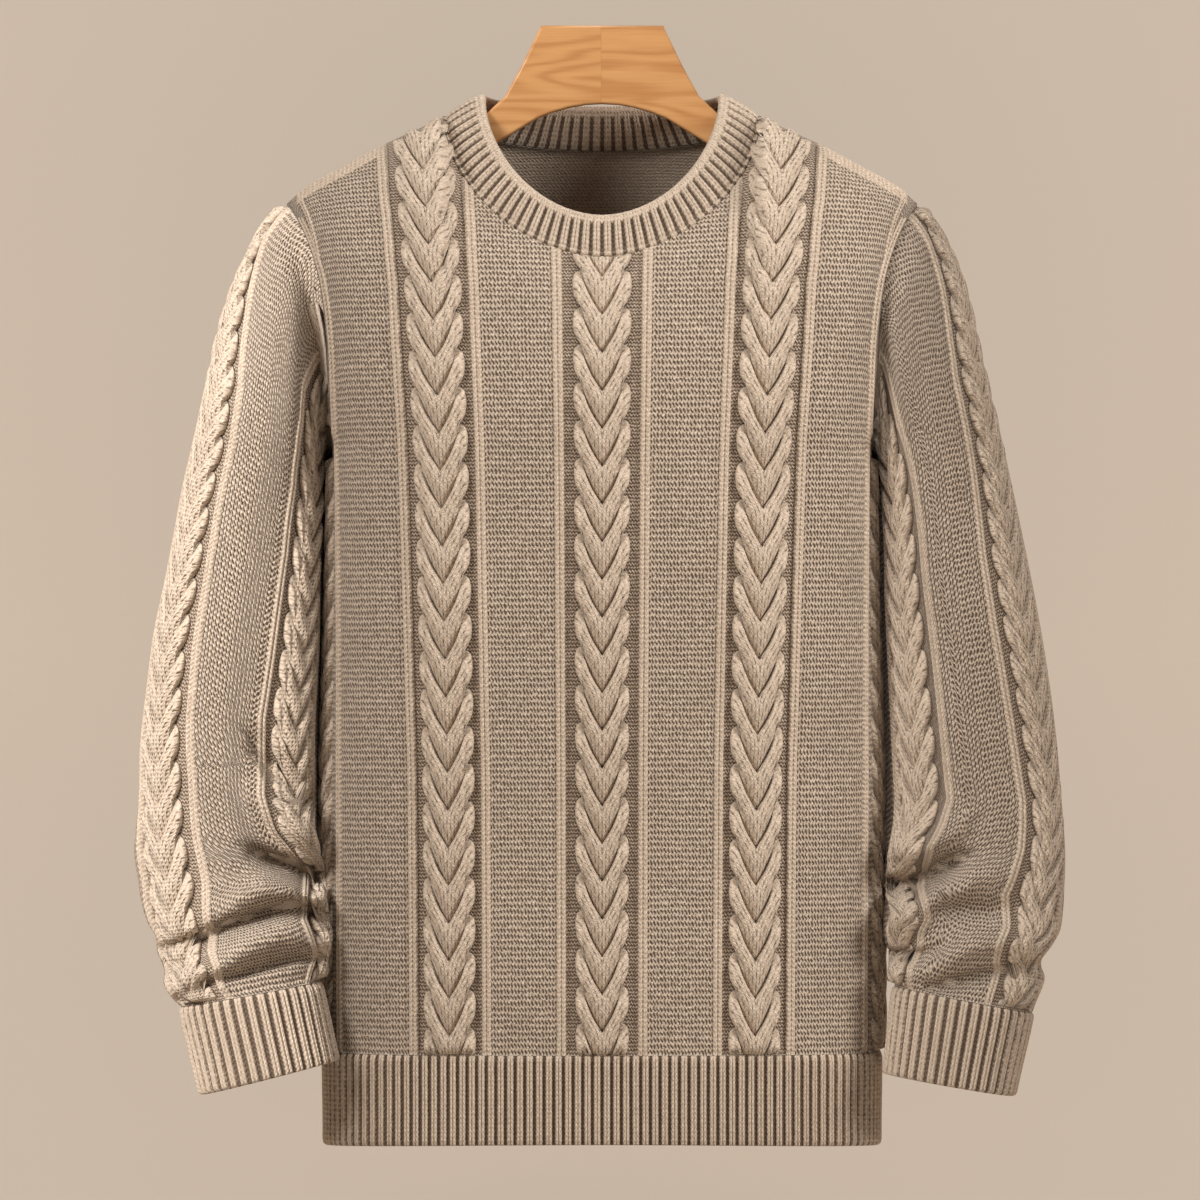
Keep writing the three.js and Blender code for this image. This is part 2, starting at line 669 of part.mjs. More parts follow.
// Cuffs: ribbed rings that carry on from the last ring of each sleeve
function cuff(name, top, bottom) {
  const skin = new Skin();
  const side = Math.sign(top.outX);
  const point = (angle, t, out) => {
    const ring = { bow: 0 };
    for (const field of ["outX", "outZ", "inX", "inZ", "y"]) {
      ring[field] = mix(bottom[field], top[field], t);
    }
    ring.depth = mix(bottom.depth, top.depth, t) + out;
    ring.outX += side * out;
    ring.inX -= side * out;
    return ringPoint(ring, angle);
  };
  const drop = cuffGap / Math.abs(bottom.outZ - top.outZ);
  const levels = [0, 1 - drop];
  const line = (angle, out) =>
    levels.map((t) => ({ id: skin.add(point(angle, t, out)), along: t, turn: angle }));
  const outer = [];
  for (let i = 0; i < cuffRibs; i += 1) {
    const angle = (i * 360) / cuffRibs;
    outer.push(line(angle, 0), line(angle + 180 / cuffRibs, cuffRidge));
  }
  const inner = steps(20).slice(0, 20).map((t) => line(t * 360, -wall));
  closeTube(skin, outer, inner, side > 0, (i) => keyed(outer[i], "along"));
  return skin.mesh(name, ribColour, 0.95);
}

// Hems: ribbed bands below each panel
function hem(name, cut) {
  const skin = new Skin();
  const places = [];
  for (let i = 0; i <= hemRibs * 2; i += 1) places.push((i / hemRibs - 1) * sideSeam);
  const levels = [0, 1];
  const line = (s, relief) =>
    levels.map((t) => {
      const lift = hemLift * (1 - (s / sideSeam) ** 2);
      const z = mix(hemBottomZ + lift, panelBottomZ - seamGap, t);
      const { point, normal } = torsoPoint(s, z, cut);
      if (Math.abs(s) > sideSeam - 0.01) normal.y = 0;
      normal.z = 0;
      point.addScaledVector(unit(normal), relief);
      return { id: skin.add(point), z: t, s };
    });
  const outer = places.map((s, i) => line(s, i % 2 === 1 ? hemRidge : 0));
  const inner = steps(36).map((t) => line((2 * t - 1) * sideSeam, -wall));
  closePanel(skin, outer, inner, outer.map(() => ({ form: "plain" })), cut.side < 0);
  return skin.mesh(name, ribColour, 0.95);
}

// The panels' neck edge as points by their turn from the front middle
function neckLoop() {
  const rows = [];
  for (const cut of [neck.front, neck.back]) {
    for (const column of panelColumns(cut).filter(({ s }) => Math.abs(s) <= corner + 0.001)) {
      const { point } = torsoPoint(column.s, columnTop(column.s, cut), cut);
      const turn = Math.asin(clamp(bend(point.x / neckHalf, neckPower / 2), -1, 1));
      rows.push({ turn: cut.side < 0 ? turn : Math.PI - turn, point });
    }
  }
  const sorted = rows.sort((a, b) => a.turn - b.turn);
  return [...sorted, { turn: sorted[0].turn + 2 * Math.PI, point: sorted[0].point }];
}

const neckPoints = neckLoop();

// Neckband: a ribbed ring standing on the neck edge
function bandFoot(turn) {
  const start = neckPoints[0].turn;
  const whole = 2 * Math.PI;
  const at = start + ((((turn - start) % whole) + whole) % whole);
  const i = Math.max(neckPoints.findIndex((row) => row.turn >= at), 1);
  const a = neckPoints[i - 1];
  const b = neckPoints[i];
  return a.point.clone().lerp(b.point, (at - a.turn) / Math.max(b.turn - a.turn, 1e-9));
}

function bandHead(turn) {
  const top = Math.cos(turn) >= 0 ? bandTop.front : bandTop.back;
  const cos = Math.abs(Math.cos(turn));
  const y = -Math.cos(turn) * top.y;
  const z = mix(band.sideZ, top.z, cos ** (2 / neckPower));
  return new THREE.Vector3(band.half * bend(Math.sin(turn), 1.05), y, z);
}

function evenTurns(count) {
  const rows = [{ turn: 0, length: 0 }];
  let before = bandFoot(0);
  for (const t of steps(720).slice(1)) {
    const turn = t * 2 * Math.PI;
    const here = bandFoot(turn);
    rows.push({ turn, length: rows.at(-1).length + here.distanceTo(before) });
    before = here;
  }
  const turnAt = track(rows, "length", "turn");
  return steps(count).slice(0, count).map((t) => turnAt(t * rows.at(-1).length));
}

function bandPoint(turn, t, out) {
  const foot = bandFoot(turn);
  const head = bandHead(turn);
  const up = head.clone().sub(foot);
  const along = bandFoot(turn + 0.02).sub(bandFoot(turn - 0.02));
  const normal = unit(along.cross(up.clone()));
  const rise = unit(up).multiplyScalar(seamGap);
  return foot.lerp(head, t).add(rise.multiplyScalar(1 - t)).addScaledVector(normal, out);
}

function neckband() {
  const skin = new Skin();
  const outerParts = [
    { t: 0, out: 0.3, ridge: 0.2 },
    { t: 0.45, out: 0.8, ridge: 1 },
    { t: 0.86, out: 0, ridge: 1 },
    { t: 1, out: -1.6, ridge: 0.4 },
  ];
  const innerParts = [
    { t: 0.05, out: -band.thick },
    { t: 0.86, out: -band.thick },
    { t: 1, out: -2.6 },
  ];
  const line = (turn, parts, ridge) =>
    parts.map((part) => {
      const out = part.out + ridge * (part.ridge ?? 0);
      const id = skin.add(bandPoint(turn, part.t, out));
      return { id, along: part.t, turn: (turn * 180) / Math.PI };
    });
  const turns = evenTurns(band.ribs * 2);
  const outer = turns.map((turn, i) => line(turn, outerParts, i % 2 === 1 ? band.ridge : 0));
  const inner = turns.filter((_, i) => i % 4 === 0).map((turn) => line(turn, innerParts, 0));
  closeTube(skin, outer, inner, false, (i) => keyed(outer[i], "along"));
  return skin.mesh("neckband", ribColour, 0.95);
}

// Hanger
function hanger() {
  const shape = new THREE.Shape();
  const right = hangerRows.map((row) => [row.x, row.z]);
  const left = right.map(([x, z]) => [-x, z]).reverse();
  const outline = [...right, [0, hangerMiddleZ], ...left];
  outline.forEach(([x, z], i) => (i === 0 ? shape.moveTo(x, z) : shape.lineTo(x, z)));
  const geometry = new THREE.ExtrudeGeometry(shape, {
    depth: hangerThick - 2 * hangerBevel,
    bevelThickness: hangerBevel,
    bevelSize: hangerBevel,
    bevelOffset: -hangerBevel,
    bevelSegments: 1,
  });
  geometry.translate(0, 0, hangerBevel - hangerThick / 2);
  geometry.rotateX(Math.PI / 2);
  return named(geometry, "hanger", woodColour, 0.45);
}

const group = new THREE.Group();
group.name = "cable_knit_sweater";
group.add(
  panel("front_panel", neck.front),
  panel("back_panel", neck.back),
  sleeve("sleeve_right", rightSleeve, rightFolds),
  sleeve("sleeve_left", leftSleeve, leftFolds),
  cuff("cuff_right", rightSleeve.at(-1), rightCuff),
  cuff("cuff_left", leftSleeve.at(-1), leftCuff),
  hem("hem_front", neck.front),
  hem("hem_back", neck.back),
  neckband(),
  hanger(),
);

export default group;
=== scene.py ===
"""Cable knit sweater on a wooden hanger: the knit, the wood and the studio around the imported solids.

Sizes are in millimetres until a mesh is made. +Z is up and the front faces -Y.
"""
import math

import bpy
import numpy as np
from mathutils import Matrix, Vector


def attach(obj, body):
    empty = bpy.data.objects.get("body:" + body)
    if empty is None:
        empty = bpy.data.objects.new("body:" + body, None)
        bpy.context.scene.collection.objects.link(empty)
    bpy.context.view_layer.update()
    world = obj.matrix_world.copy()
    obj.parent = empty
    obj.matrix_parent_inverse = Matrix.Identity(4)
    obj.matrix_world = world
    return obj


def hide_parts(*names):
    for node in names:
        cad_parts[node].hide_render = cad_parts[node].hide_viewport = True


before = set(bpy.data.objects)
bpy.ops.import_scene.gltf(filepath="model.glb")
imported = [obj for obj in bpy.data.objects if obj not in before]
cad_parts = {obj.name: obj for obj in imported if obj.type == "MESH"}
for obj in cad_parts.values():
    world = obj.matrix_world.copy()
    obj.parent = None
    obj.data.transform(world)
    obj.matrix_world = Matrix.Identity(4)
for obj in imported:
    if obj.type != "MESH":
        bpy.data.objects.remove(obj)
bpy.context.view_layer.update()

MM = 0.001

# --- sizes
WALL = 2.4
SECTION_POWER = 3
UNDERARM_Z = -287
PANEL_BOTTOM_Z = -696
HEM_BOTTOM_Z = -760
HEM_LIFT = 4
ARMHOLE_SPREAD = 40
SHOULDER_POWER = 2.5
REF_HALF = 183
REF_DEPTH = 100

TORSO_Z = [-760, -696, -510, -460, -390, -287, -243, -212, -178, -159, -142, -130, -121, -60]
TORSO_HALF = [188, 188.5, 188, 186.5, 184.5, 183, 184, 185.5, 190, 195, 201.5, 208, 214.5, 250]
TORSO_DEPTH = [96, 96, 97, 98, 99, 100, 100, 100, 100, 100, 100, 100, 100, 100]
TORSO_FAN = [0.965, 0.965, 0.975, 0.985, 1, 1.025, 1.045, 1.06, 1.075, 1.09, 1.1, 1.11, 1.12, 1.155]

SHOULDER_X = [100, 107.4, 135, 148, 175, 201, 214.5]
SHOULDER_Z = [-58.5, -62, -74.5, -80.5, -95, -109.5, -121]

NECK_HALF = 107.4
NECK_SIDE_Z = -62
NECK_POWER = 1.8
FRONT = {"side": -1, "drop": 96, "lift": 42}
BACK = {"side": 1, "drop": 20, "lift": 38}
BAND_HALF = 80
BAND_SIDE_Z = -46
BAND_RIBS = 80
BAND_LENGTH = 30
BAND_TOP = {"front": (59, -130), "back": (50, -52)}

# Cables: a stack of chevrons pointing down
PERIOD = 25.3
CABLE_V_Z = -402
CABLE_HALF = 18.6
CABLE_HEIGHT = 4.8
BODY_CABLES = (-106.5, 0, 106.5)
SIDE_CABLES = (-224, 224)
CELL = (0, 0.03, 0.07, 0.13, 0.2, 0.29, 0.39, 0.5, 0.61, 0.71, 0.8, 0.88, 0.94, 0.975)
YARN_PITCH = 2.3
EDGE_SINK = 1.2

# Strips of knit across half a panel: from, to, knit, columns
FRONT_STRIPS = [
    (0, 18.5, "gutter", 3),
    (18.5, 25, "gutter", 3),
    (25, 31.6, "rib", 12),
    (31.6, 77, "garter", 16),
    (77, 83.6, "rib", 12),
    (83.6, 88, "gutter", 2),
    (88, 125, "gutter", 6),
    (125, 129.4, "gutter", 2),
    (129.4, 136, "rib", 12),
    (136, 193, "garter", 20),
    (193, 199.6, "rib", 12),
    (199.6, 206, "garter", 3),
    (206, 238, "garter", 14),
]
RIB_DEPTH = 1.8
RIB_FROM, RIB_TO = 0.18, 0.82
GUTTER_DEPTH = 1.7

# Sleeve rings: outer and inner outline point (x, z), half depth and place towards the back
RIGHT_SLEEVE = [
    (-218, -121, -183.4, -287, 57, 0),
    (-231, -143, -187, -292, 60, 0),
    (-242, -165, -189, -297, 62, 0),
    (-252, -190, -190, -303, 63, 0),
    (-262, -219, -190.5, -311, 62, -1),
    (-270, -251, -191, -321, 60, -2),
    (-277, -283, -191, -333, 58, -4),
    (-284, -314, -191.5, -348, 56, -7),
    (-290, -347, -192, -367, 54, -10),
    (-296, -379, -192, -390, 52, -14),
    (-303, -413, -192, -419, 49, -18),
    (-308, -452, -193, -452, 46, -22),
    (-312, -489, -194, -485, 43, -27),
    (-313, -520, -194, -515, 41, -31),
    (-315, -544, -195, -540, 40, -35),
    (-316, -562, -194, -558, 39, -39),
    (-313, -581, -193, -572, 38, -43),
    (-311, -594, -191, -585, 39, -46),
    (-307, -607, -190, -598, 39, -49),
    (-301, -618, -188, -609, 39, -51),
    (-302, -630, -186, -620, 39, -54),
    (-296, -641, -186, -629, 39, -56),
    (-295, -650, -188, -636, 39, -58),
    (-289, -659, -190, -643, 38, -60),
    (-284, -664, -190, -647, 38, -62),
]
LEFT_SLEEVE = [
    (214.9, -121, 183.4, -287, 57, 0),
    (226, -139, 187, -292, 60, 0),
    (236, -159, 189, -297, 62, 0),
    (245, -183, 190, -303, 63, 0),
    (253, -212, 190.5, -311, 62, -1),
    (261, -244, 191, -321, 60, -2),
    (269, -276, 191, -333, 58, -4),
    (276, -307, 191.5, -348, 56, -7),
    (283, -339, 192, -367, 54, -10),
    (290, -373, 192, -390, 52, -14),
    (297, -411, 193, -419, 49, -18),
    (303, -452, 194, -452, 46, -22),
    (307, -489, 195, -485, 43, -27),
    (309, -518, 196, -515, 41, -31),
    (311, -544, 197, -540, 40, -35),
    (312, -564, 195, -558, 39, -39),
    (312, -585, 194, -573, 38, -43),
    (311, -600, 194, -588, 39, -46),
    (309, -613, 196, -600, 39, -49),
    (304, -623, 194, -612, 39, -51),
    (299, -634, 197, -623, 39, -54),
    (299, -644, 198, -632, 39, -56),
    (296, -653, 197, -639, 39, -58),
    (292, -662, 197, -646, 38, -60),
    (290, -668, 197, -650, 38, -62),
]
LAST_RING = 24
RIGHT_CUFF = (-270, -723, -178, -700, 38, -70)
LEFT_CUFF = (277, -724, 190, -709, 38, -70)
CUFF_RIBS = 38
CUFF_LENGTH = 58
HEM_RIBS = 72
HEM_LENGTH = PANEL_BOTTOM_Z - HEM_BOTTOM_Z

# Sleeve strips by angle: 0 outside, 90 front, 180 towards the body, 270 back
SLEEVE_STRIPS = [
    (4, 10.4, "rib", 10),
    (10.4, 15, "gutter", 2),
    (15, 53, "gutter", 8),
    (53, 57.6, "gutter", 2),
    (57.6, 64, "rib", 10),
    (64, 109, "garter", 22),
    (109, 115.4, "rib", 10),
    (115.4, 120, "gutter", 2),
    (120, 156, "gutter", 10),
    (156, 160.4, "gutter", 2),
    (160.4, 167, "rib", 8),
    (167, 262, "garter", 32),
    (262, 268.4, "rib", 8),
    (268.4, 272, "gutter", 2),
    (272, 310, "gutter", 8),
    (310, 314.6, "gutter", 2),
    (314.6, 321, "rib", 8),
    (321, 364, "garter", 14),
]
SLEEVE_CABLES = (34, 138, 291)
SLEEVE_CABLE_HALF = 18.5
SLEEVE_V_Z = -430

# How far the strips turn round the sleeve: ring, turn of the outer strips and of the inner ones
RIGHT_DRIFT = [
    (0, -44, -10), (1, -42, -12), (2.2, -28, -8), (3.2, -15, 3), (4.3, -1, 9), (5.5, 4, 12), (7.9, 3, 11),
    (10.3, 2, 5), (11.5, 3, 1), (13.2, 8, 2), (14.3, 12, 12), (15.2, 15, 26), (16.2, 16, 38), (17.2, 14, 36),
    (18.6, 11, 30), (20.5, 11, 38), (24, 14, 34),
]
LEFT_DRIFT = [
    (0, -36, -10), (1, -32, -9), (2.2, -23, 0), (3.2, -13, 5), (4.3, -4, 5), (5.8, 0, 5), (8.4, 7, 5),
    (9.8, 7, 3), (11, 4, 1), (13.3, -3, -3), (14.8, 0, 12), (16.5, 11, 18), (18.3, 9, 14), (20, 10, 20),
    (21.5, 10, 32), (24, 10, 30),
]

# Folds: middle angle, ring, half angle, reach above and below the crease, slant, depth
RIGHT_FOLDS = [
    (10, 20.2, 30, 0.7, 0.7, 0, -3),
    (250, 17.4, 60, 0.9, 0.9, 0.006, -6),
    (215, 20.8, 55, 0.9, 0.9, -0.006, -5),
]
LEFT_FOLDS = [
    (10, 20.1, 30, 0.8, 0.8, 0, -3),
    (255, 17.2, 60, 0.9, 0.9, 0.006, -6),
    (225, 20.6, 55, 0.9, 0.9, -0.006, -5),
]

# Creases of the sleeves' fronts: width above and below, and points (x, z, depth), left to right
RIGHT_CREASES = [
    (6, 12, [(-208.1, -140.1, 3), (-201.3, -155.7, 8), (-195.8, -172.7, 16), (-191.8, -193.1, 24),
        (-189.7, -216.9, 32), (-188.4, -244.1, 35), (-187.7, -274.7, 32), (-187, -301.9, 24),
        (-186.3, -335.9, 8)]),
    (15, 1.8, [(-239.4, -477.4, 0), (-233.9, -493.7, 9), (-227.1, -505.2, 14), (-216.9, -514.8, 15),
        (-206.7, -524.3, 16), (-197.2, -533.8, 18), (-187.7, -544, 18)]),
    (5, 8, [(-240, -556, 3), (-231.2, -560.3, 14), (-222.4, -565.1, 26), (-210.8, -569.8, 31),
        (-199.9, -575.3, 34), (-189, -580.7, 34)]),
    (3, 9, [(-300.6, -624.9, 9), (-289.7, -624.9, 12), (-278.8, -620.8, 12), (-266.6, -614.7, 14),
        (-251.6, -607.9, 15), (-236, -602.5, 15), (-220.3, -598.4, 14), (-205.4, -595, 12),
        (-194.5, -599.8, 14), (-189, -610.6, 14)]),
    (3.5, 6, [(-298.5, -636.5, 8), (-288.3, -636.5, 9), (-278.8, -633.1, 8), (-269.3, -628.3, 4)]),
    (3.5, 5, [(-289.7, -662.3, 6), (-276.8, -654.2, 6), (-263.2, -648.7, 3)]),
    (5, 3, [(-267.9, -647.4, 8), (-246.2, -643.3, 9), (-225.8, -637.2, 9), (-205.4, -631.7, 9),
        (-188.4, -631.7, 6)]),
]
LEFT_CREASES = [
    (9, 5, [(202, -133.3, 4), (193.8, -155.7, 8), (188.4, -179.5, 11), (185.6, -203.3, 16),
        (186.3, -230.5, 24), (187.7, -257.7, 30), (188.4, -284.9, 27), (188.4, -315.5, 14),
        (188.4, -342.7, 0)]),
    (4.5, 8, [(191.8, -580.7, 34), (199.9, -582.1, 34), (208.1, -581.4, 27), (216.2, -576.6, 19),
        (226.4, -570.5, 17), (235.3, -566.4, 17), (242.1, -562.4, 10), (248.9, -557.6, 0)]),
    (3, 8, [(190.4, -625.6, 21), (199.9, -627.6, 18), (209.4, -629, 12), (219.6, -626.3, 8),
        (229.8, -622.2, 3)]),
    (7, 7, [(212.8, -599.8, 0), (226.4, -599.1, 6), (243.4, -598.4, 8), (260.4, -599.8, 8),
        (272.7, -597.7, 4)]),
    (3.5, 7, [(219.6, -651.4, 6), (236.6, -646, 10), (251.6, -641.9, 10), (265.2, -639.2, 8),
        (278.8, -639.2, 7), (291, -643.3, 7)]),
    (3, 3, [(301.9, -633.8, 9), (293.8, -637.8, 8), (284.2, -636.5, 4)]),
]

# Rolls of cloth between the creases, told in the same way, with how far they stand forward
RIGHT_ROLLS = [
    (16, 9, [(-245, -510, 3), (-231, -524, 10), (-214, -541, 14), (-200, -552, 14), (-189, -560, 10)]),
    (9, 9, [(-262, -600, 3), (-245, -592, 10), (-225, -584, 16), (-208, -585, 18), (-193, -591, 14)]),
    (11, 11, [(-285, -650, 6), (-262, -640, 11), (-240, -624, 13), (-215, -614, 13), (-194, -617, 11)]),
]
LEFT_ROLLS = [
    (14, 8, [(193, -558, 10), (208, -561, 14), (224, -553, 13), (240, -543, 6)]),
    (10, 11, [(191, -602, 14), (206, -604, 16), (226, -590, 10), (250, -577, 10), (270, -574, 6)]),
    (9, 9, [(200, -642, 8), (225, -633, 11), (250, -622, 11), (272, -619, 10), (292, -622, 6)]),
]

# Hanger board: half outline from the top corner out, round the tip and back below
HANGER_ROWS = [
    (41.5, 0), (55, -28), (66, -48), (80, -61), (107, -74), (135, -79.5), (148, -85.3),
    (175, -100.5), (184, -107), (187, -118), (180, -129), (150, -120), (107, -101),
    (75, -82), (44, -63), (33, -58.6), (22, -55.5), (11, -53.6),
]
HANGER_MIDDLE_Z = -53
HANGER_THICK = 13
HANGER_BEVEL = 1.8


# --- helpers
def smooth(low, high, value):
    t = np.clip((value - low) / (high - low), 0, 1)
    return t * t * (3 - 2 * t)


def mix(a, b, t):
    return a + (b - a) * t


def unit(v):
    return v / np.maximum(np.linalg.norm(v, axis=-1, keepdims=True), 1e-12)


def track(at, value):
    """A smooth function through a table's column."""
    at, value = np.asarray(at, float), np.asarray(value, float)
    index = np.arange(len(at))
    low, high = np.maximum(index - 1, 0), np.minimum(index + 1, len(at) - 1)
    slope = (value[high] - value[low]) / (at[high] - at[low])

    def read(x):
        i = np.searchsorted(at[1:-1], x, side="left")
        span = at[i + 1] - at[i]
        u = np.clip((x - at[i]) / span, 0, 1)
        w = u * u * (3 - 2 * u)
        rise = span * u * (1 - u) * ((1 - u) * slope[i] - u * slope[i + 1])
        return mix(value[i], value[i + 1], w) + rise

    return read


def run_along(points):
    """Length along each column of a grid of points."""
    steps = np.linalg.norm(np.diff(points, axis=0), axis=-1)
    return np.concatenate([0 * steps[:1], np.cumsum(steps, axis=0)])


def closed(grid, axis=1):
    """A grid with its first line once more at its end."""
    return np.concatenate([grid, grid.take([0], axis=axis)], axis=axis)


def corners_of(grid):
    """The four corners of each cell of a grid."""
    return np.stack([grid[:-1, :-1], grid[:-1, 1:], grid[1:, 1:], grid[1:, :-1]], axis=2)


def rib_wave(x):
    """Height from 0 to 1 of a pair of knit wales in one rib, x from 0 to 1 across it."""
    left = np.clip(np.abs(x - 0.345) / 0.165, 0, 1)
    right = np.clip(np.abs(x - 0.655) / 0.165, 0, 1)
    return np.sqrt(np.maximum(1 - left ** 2, 1 - right ** 2))


RIB_PLACES = np.array([0, 0.11, 0.18, 0.21, 0.26, 0.345, 0.43, 0.5, 0.57, 0.655, 0.74, 0.79, 0.82, 0.89])


def rib_stitch(x):
    """Stitch number across a rib: its two wales are centred on 1 and 2."""
    return np.interp(x, [0, 0.18, 0.5, 0.82, 1], [0, 0.5, 1.5, 2.5, 3])


class Skin:
    """Grids of points with cloth coordinates, joined into one mesh."""

    def __init__(self):
        self.points, self.count = [], 0
        self.polygons, self.cloth, self.zones = [], [], []

    def add(self, points):
        rows, columns = points.shape[:2]
        ids = self.count + np.arange(rows * columns).reshape(rows, columns)
        self.points.append(points.reshape(-1, 3))
        self.count += rows * columns
        return ids

    def faces(self, corners, cloth, zone, flip=False):
        """corners is (faces, 3 or 4) point numbers, cloth (faces, 3 or 4, 2)."""
        if flip:
            corners, cloth = corners[:, ::-1], cloth[:, ::-1]
        self.polygons.append(corners)
        self.cloth.append(cloth)
        self.zones.append(np.broadcast_to(zone, len(corners)))

    def grid(self, ids, cloth, zones, flip=False, keep=None):
        """Fills a grid of point numbers. zones has one entry for each strip between columns."""
        corners = corners_of(ids).reshape(-1, 4)
        uv = corners_of(cloth).reshape(-1, 4, 2)
        zone = np.broadcast_to(zones, (ids.shape[0] - 1, ids.shape[1] - 1)).reshape(-1)
        if keep is not None:
            chosen = keep.reshape(-1)
            corners, uv, zone = corners[chosen], uv[chosen], zone[chosen]
        self.faces(corners, uv, zone, flip)

    def rim(self, fine, coarse, ratio, cloth, zone, flip=False):
        """Joins a fine line of points to a coarse one with one point for each ratio of them."""
        n = len(fine) - 1
        near = np.minimum((np.arange(n) + ratio // 2) // ratio, len(coarse) - 1)
        fan = np.stack([fine[:-1], fine[1:], coarse[near]], axis=1)
        uv = np.stack([cloth[:-1], cloth[1:], cloth[:-1]], axis=1)
        self.faces(fan, uv, zone, flip)
        for i in range(len(coarse) - 1):
            at = min(i * ratio + (ratio + 1) // 2, n)
            first = np.argmax(near > i) if np.any(near > i) else at
            corner = np.array([[coarse[i], fine[first], coarse[i + 1]]])
            uv = cloth[[first, first, first]][None]
            self.faces(corner, uv, zone, flip)

    def mesh(self, name, materials):
        mesh = bpy.data.meshes.new(name)
        points = np.concatenate(self.points) * MM
        mesh.vertices.add(len(points))
        mesh.vertices.foreach_set("co", points.astype(np.float32).ravel())
        sizes = np.concatenate([np.full(len(p), p.shape[1]) for p in self.polygons])
        loops = np.concatenate([p.ravel() for p in self.polygons])
        mesh.loops.add(len(loops))
        mesh.loops.foreach_set("vertex_index", loops.astype(np.int32))
        mesh.polygons.add(len(sizes))
        starts = np.concatenate([[0], np.cumsum(sizes)[:-1]])
        mesh.polygons.foreach_set("loop_start", starts.astype(np.int32))
        mesh.update(calc_edges=True)
        layer = mesh.uv_layers.new(name="cloth")
        uv = np.concatenate([c.reshape(-1, 2) for c in self.cloth])
        layer.data.foreach_set("uv", uv.astype(np.float32).ravel())
        for material in materials:
            mesh.materials.append(material)
        zones = np.concatenate(self.zones)
        mesh.polygons.foreach_set("material_index", zones.astype(np.int32))
        mesh.polygons.foreach_set("use_smooth", np.ones(len(sizes), bool))
        mesh.update()
        piece = bpy.data.objects.new(name, mesh)
        bpy.context.scene.collection.objects.link(piece)
        return piece


# --- torso form
half_at = track(TORSO_Z, TORSO_HALF)
depth_at = track(TORSO_Z, TORSO_DEPTH)
fan_at = track(TORSO_Z, TORSO_FAN)
shoulder_at = track(SHOULDER_X, SHOULDER_Z)

_turn = np.linspace(0, 1, 401) * math.pi / 2
WIDTH_X = REF_HALF * np.sin(_turn) ** (2 / SECTION_POWER)
_width_y = REF_DEPTH * np.maximum(np.cos(_turn), 0) ** (2 / SECTION_POWER)
WIDTH_S = np.concatenate([[0], np.cumsum(np.hypot(np.diff(WIDTH_X), np.diff(_width_y)))])
SIDE_SEAM = WIDTH_S[-1]


def top_at(x, cut):
    u = np.clip(np.abs(x) / NECK_HALF, 0, 1)
    neck = NECK_SIDE_Z - cut["drop"] * (1 - u ** NECK_POWER) ** (1 / NECK_POWER)
    return np.where(np.abs(x) < NECK_HALF, neck, shoulder_at(np.abs(x)))


def depth_of(x, z, cut):
    """How far the cloth is from the middle plane."""
    u = np.clip(np.abs(x) / NECK_HALF, 0, 1)
    ridge = top_at(x, cut) + cut["lift"] * (1 - u * u) ** 0.85
    rise = np.clip((z - UNDERARM_Z) / (ridge - UNDERARM_Z), 0, 1)
    half = np.where(z > UNDERARM_Z, REF_HALF + ARMHOLE_SPREAD * rise, half_at(z))
    v = np.clip(np.abs(x) / half, 0, 1)
    section = (1 - v ** SECTION_POWER) ** (1 / SECTION_POWER)
    return depth_at(z) * section * np.sqrt(1 - rise ** SHOULDER_POWER)


def across_at(s, z):
    edge = smooth(150, SIDE_SEAM, np.abs(s))
    width = np.sign(s) * np.interp(np.abs(s), WIDTH_S, WIDTH_X)
    return width * mix(fan_at(z), half_at(z) / REF_HALF, edge)


def column_tops(s, cut):
    low = np.full(np.shape(s), float(UNDERARM_Z))
    high = np.full(np.shape(s), -60.0)
    for _ in range(40):
        z = (low + high) / 2
        inside = top_at(across_at(s, z), cut) > z
        low, high = np.where(inside, z, low), np.where(inside, high, z)
    return low


TOP_S = np.linspace(-SIDE_SEAM, SIDE_SEAM, 1201)
TOPS = {cut["side"]: column_tops(TOP_S, cut) for cut in (FRONT, BACK)}


def column_top(s, cut):
    return np.interp(s, TOP_S, TOPS[cut["side"]])


def cloth_at(x, z, cut):
    """Points of the cloth and the way it faces."""
    x, z = np.broadcast_arrays(np.asarray(x, float), np.asarray(z, float))
    depth = depth_of(x, z, cut)
    step = 0.5
    along_x = (depth - depth_of(np.abs(x) - step, z, cut)) / step
    along_z = (depth - depth_of(x, z - step, cut)) / step
    side = np.full(np.shape(x), float(cut["side"]))
    normal = unit(np.stack([-along_x * np.sign(x), side, -along_z], axis=-1))
    point = np.stack([x, side * np.maximum(depth, 0.05), z], axis=-1)
    return point, normal


def torso_surface(s, z, cut):
    return cloth_at(across_at(np.asarray(s, float), np.asarray(z, float)), z, cut)


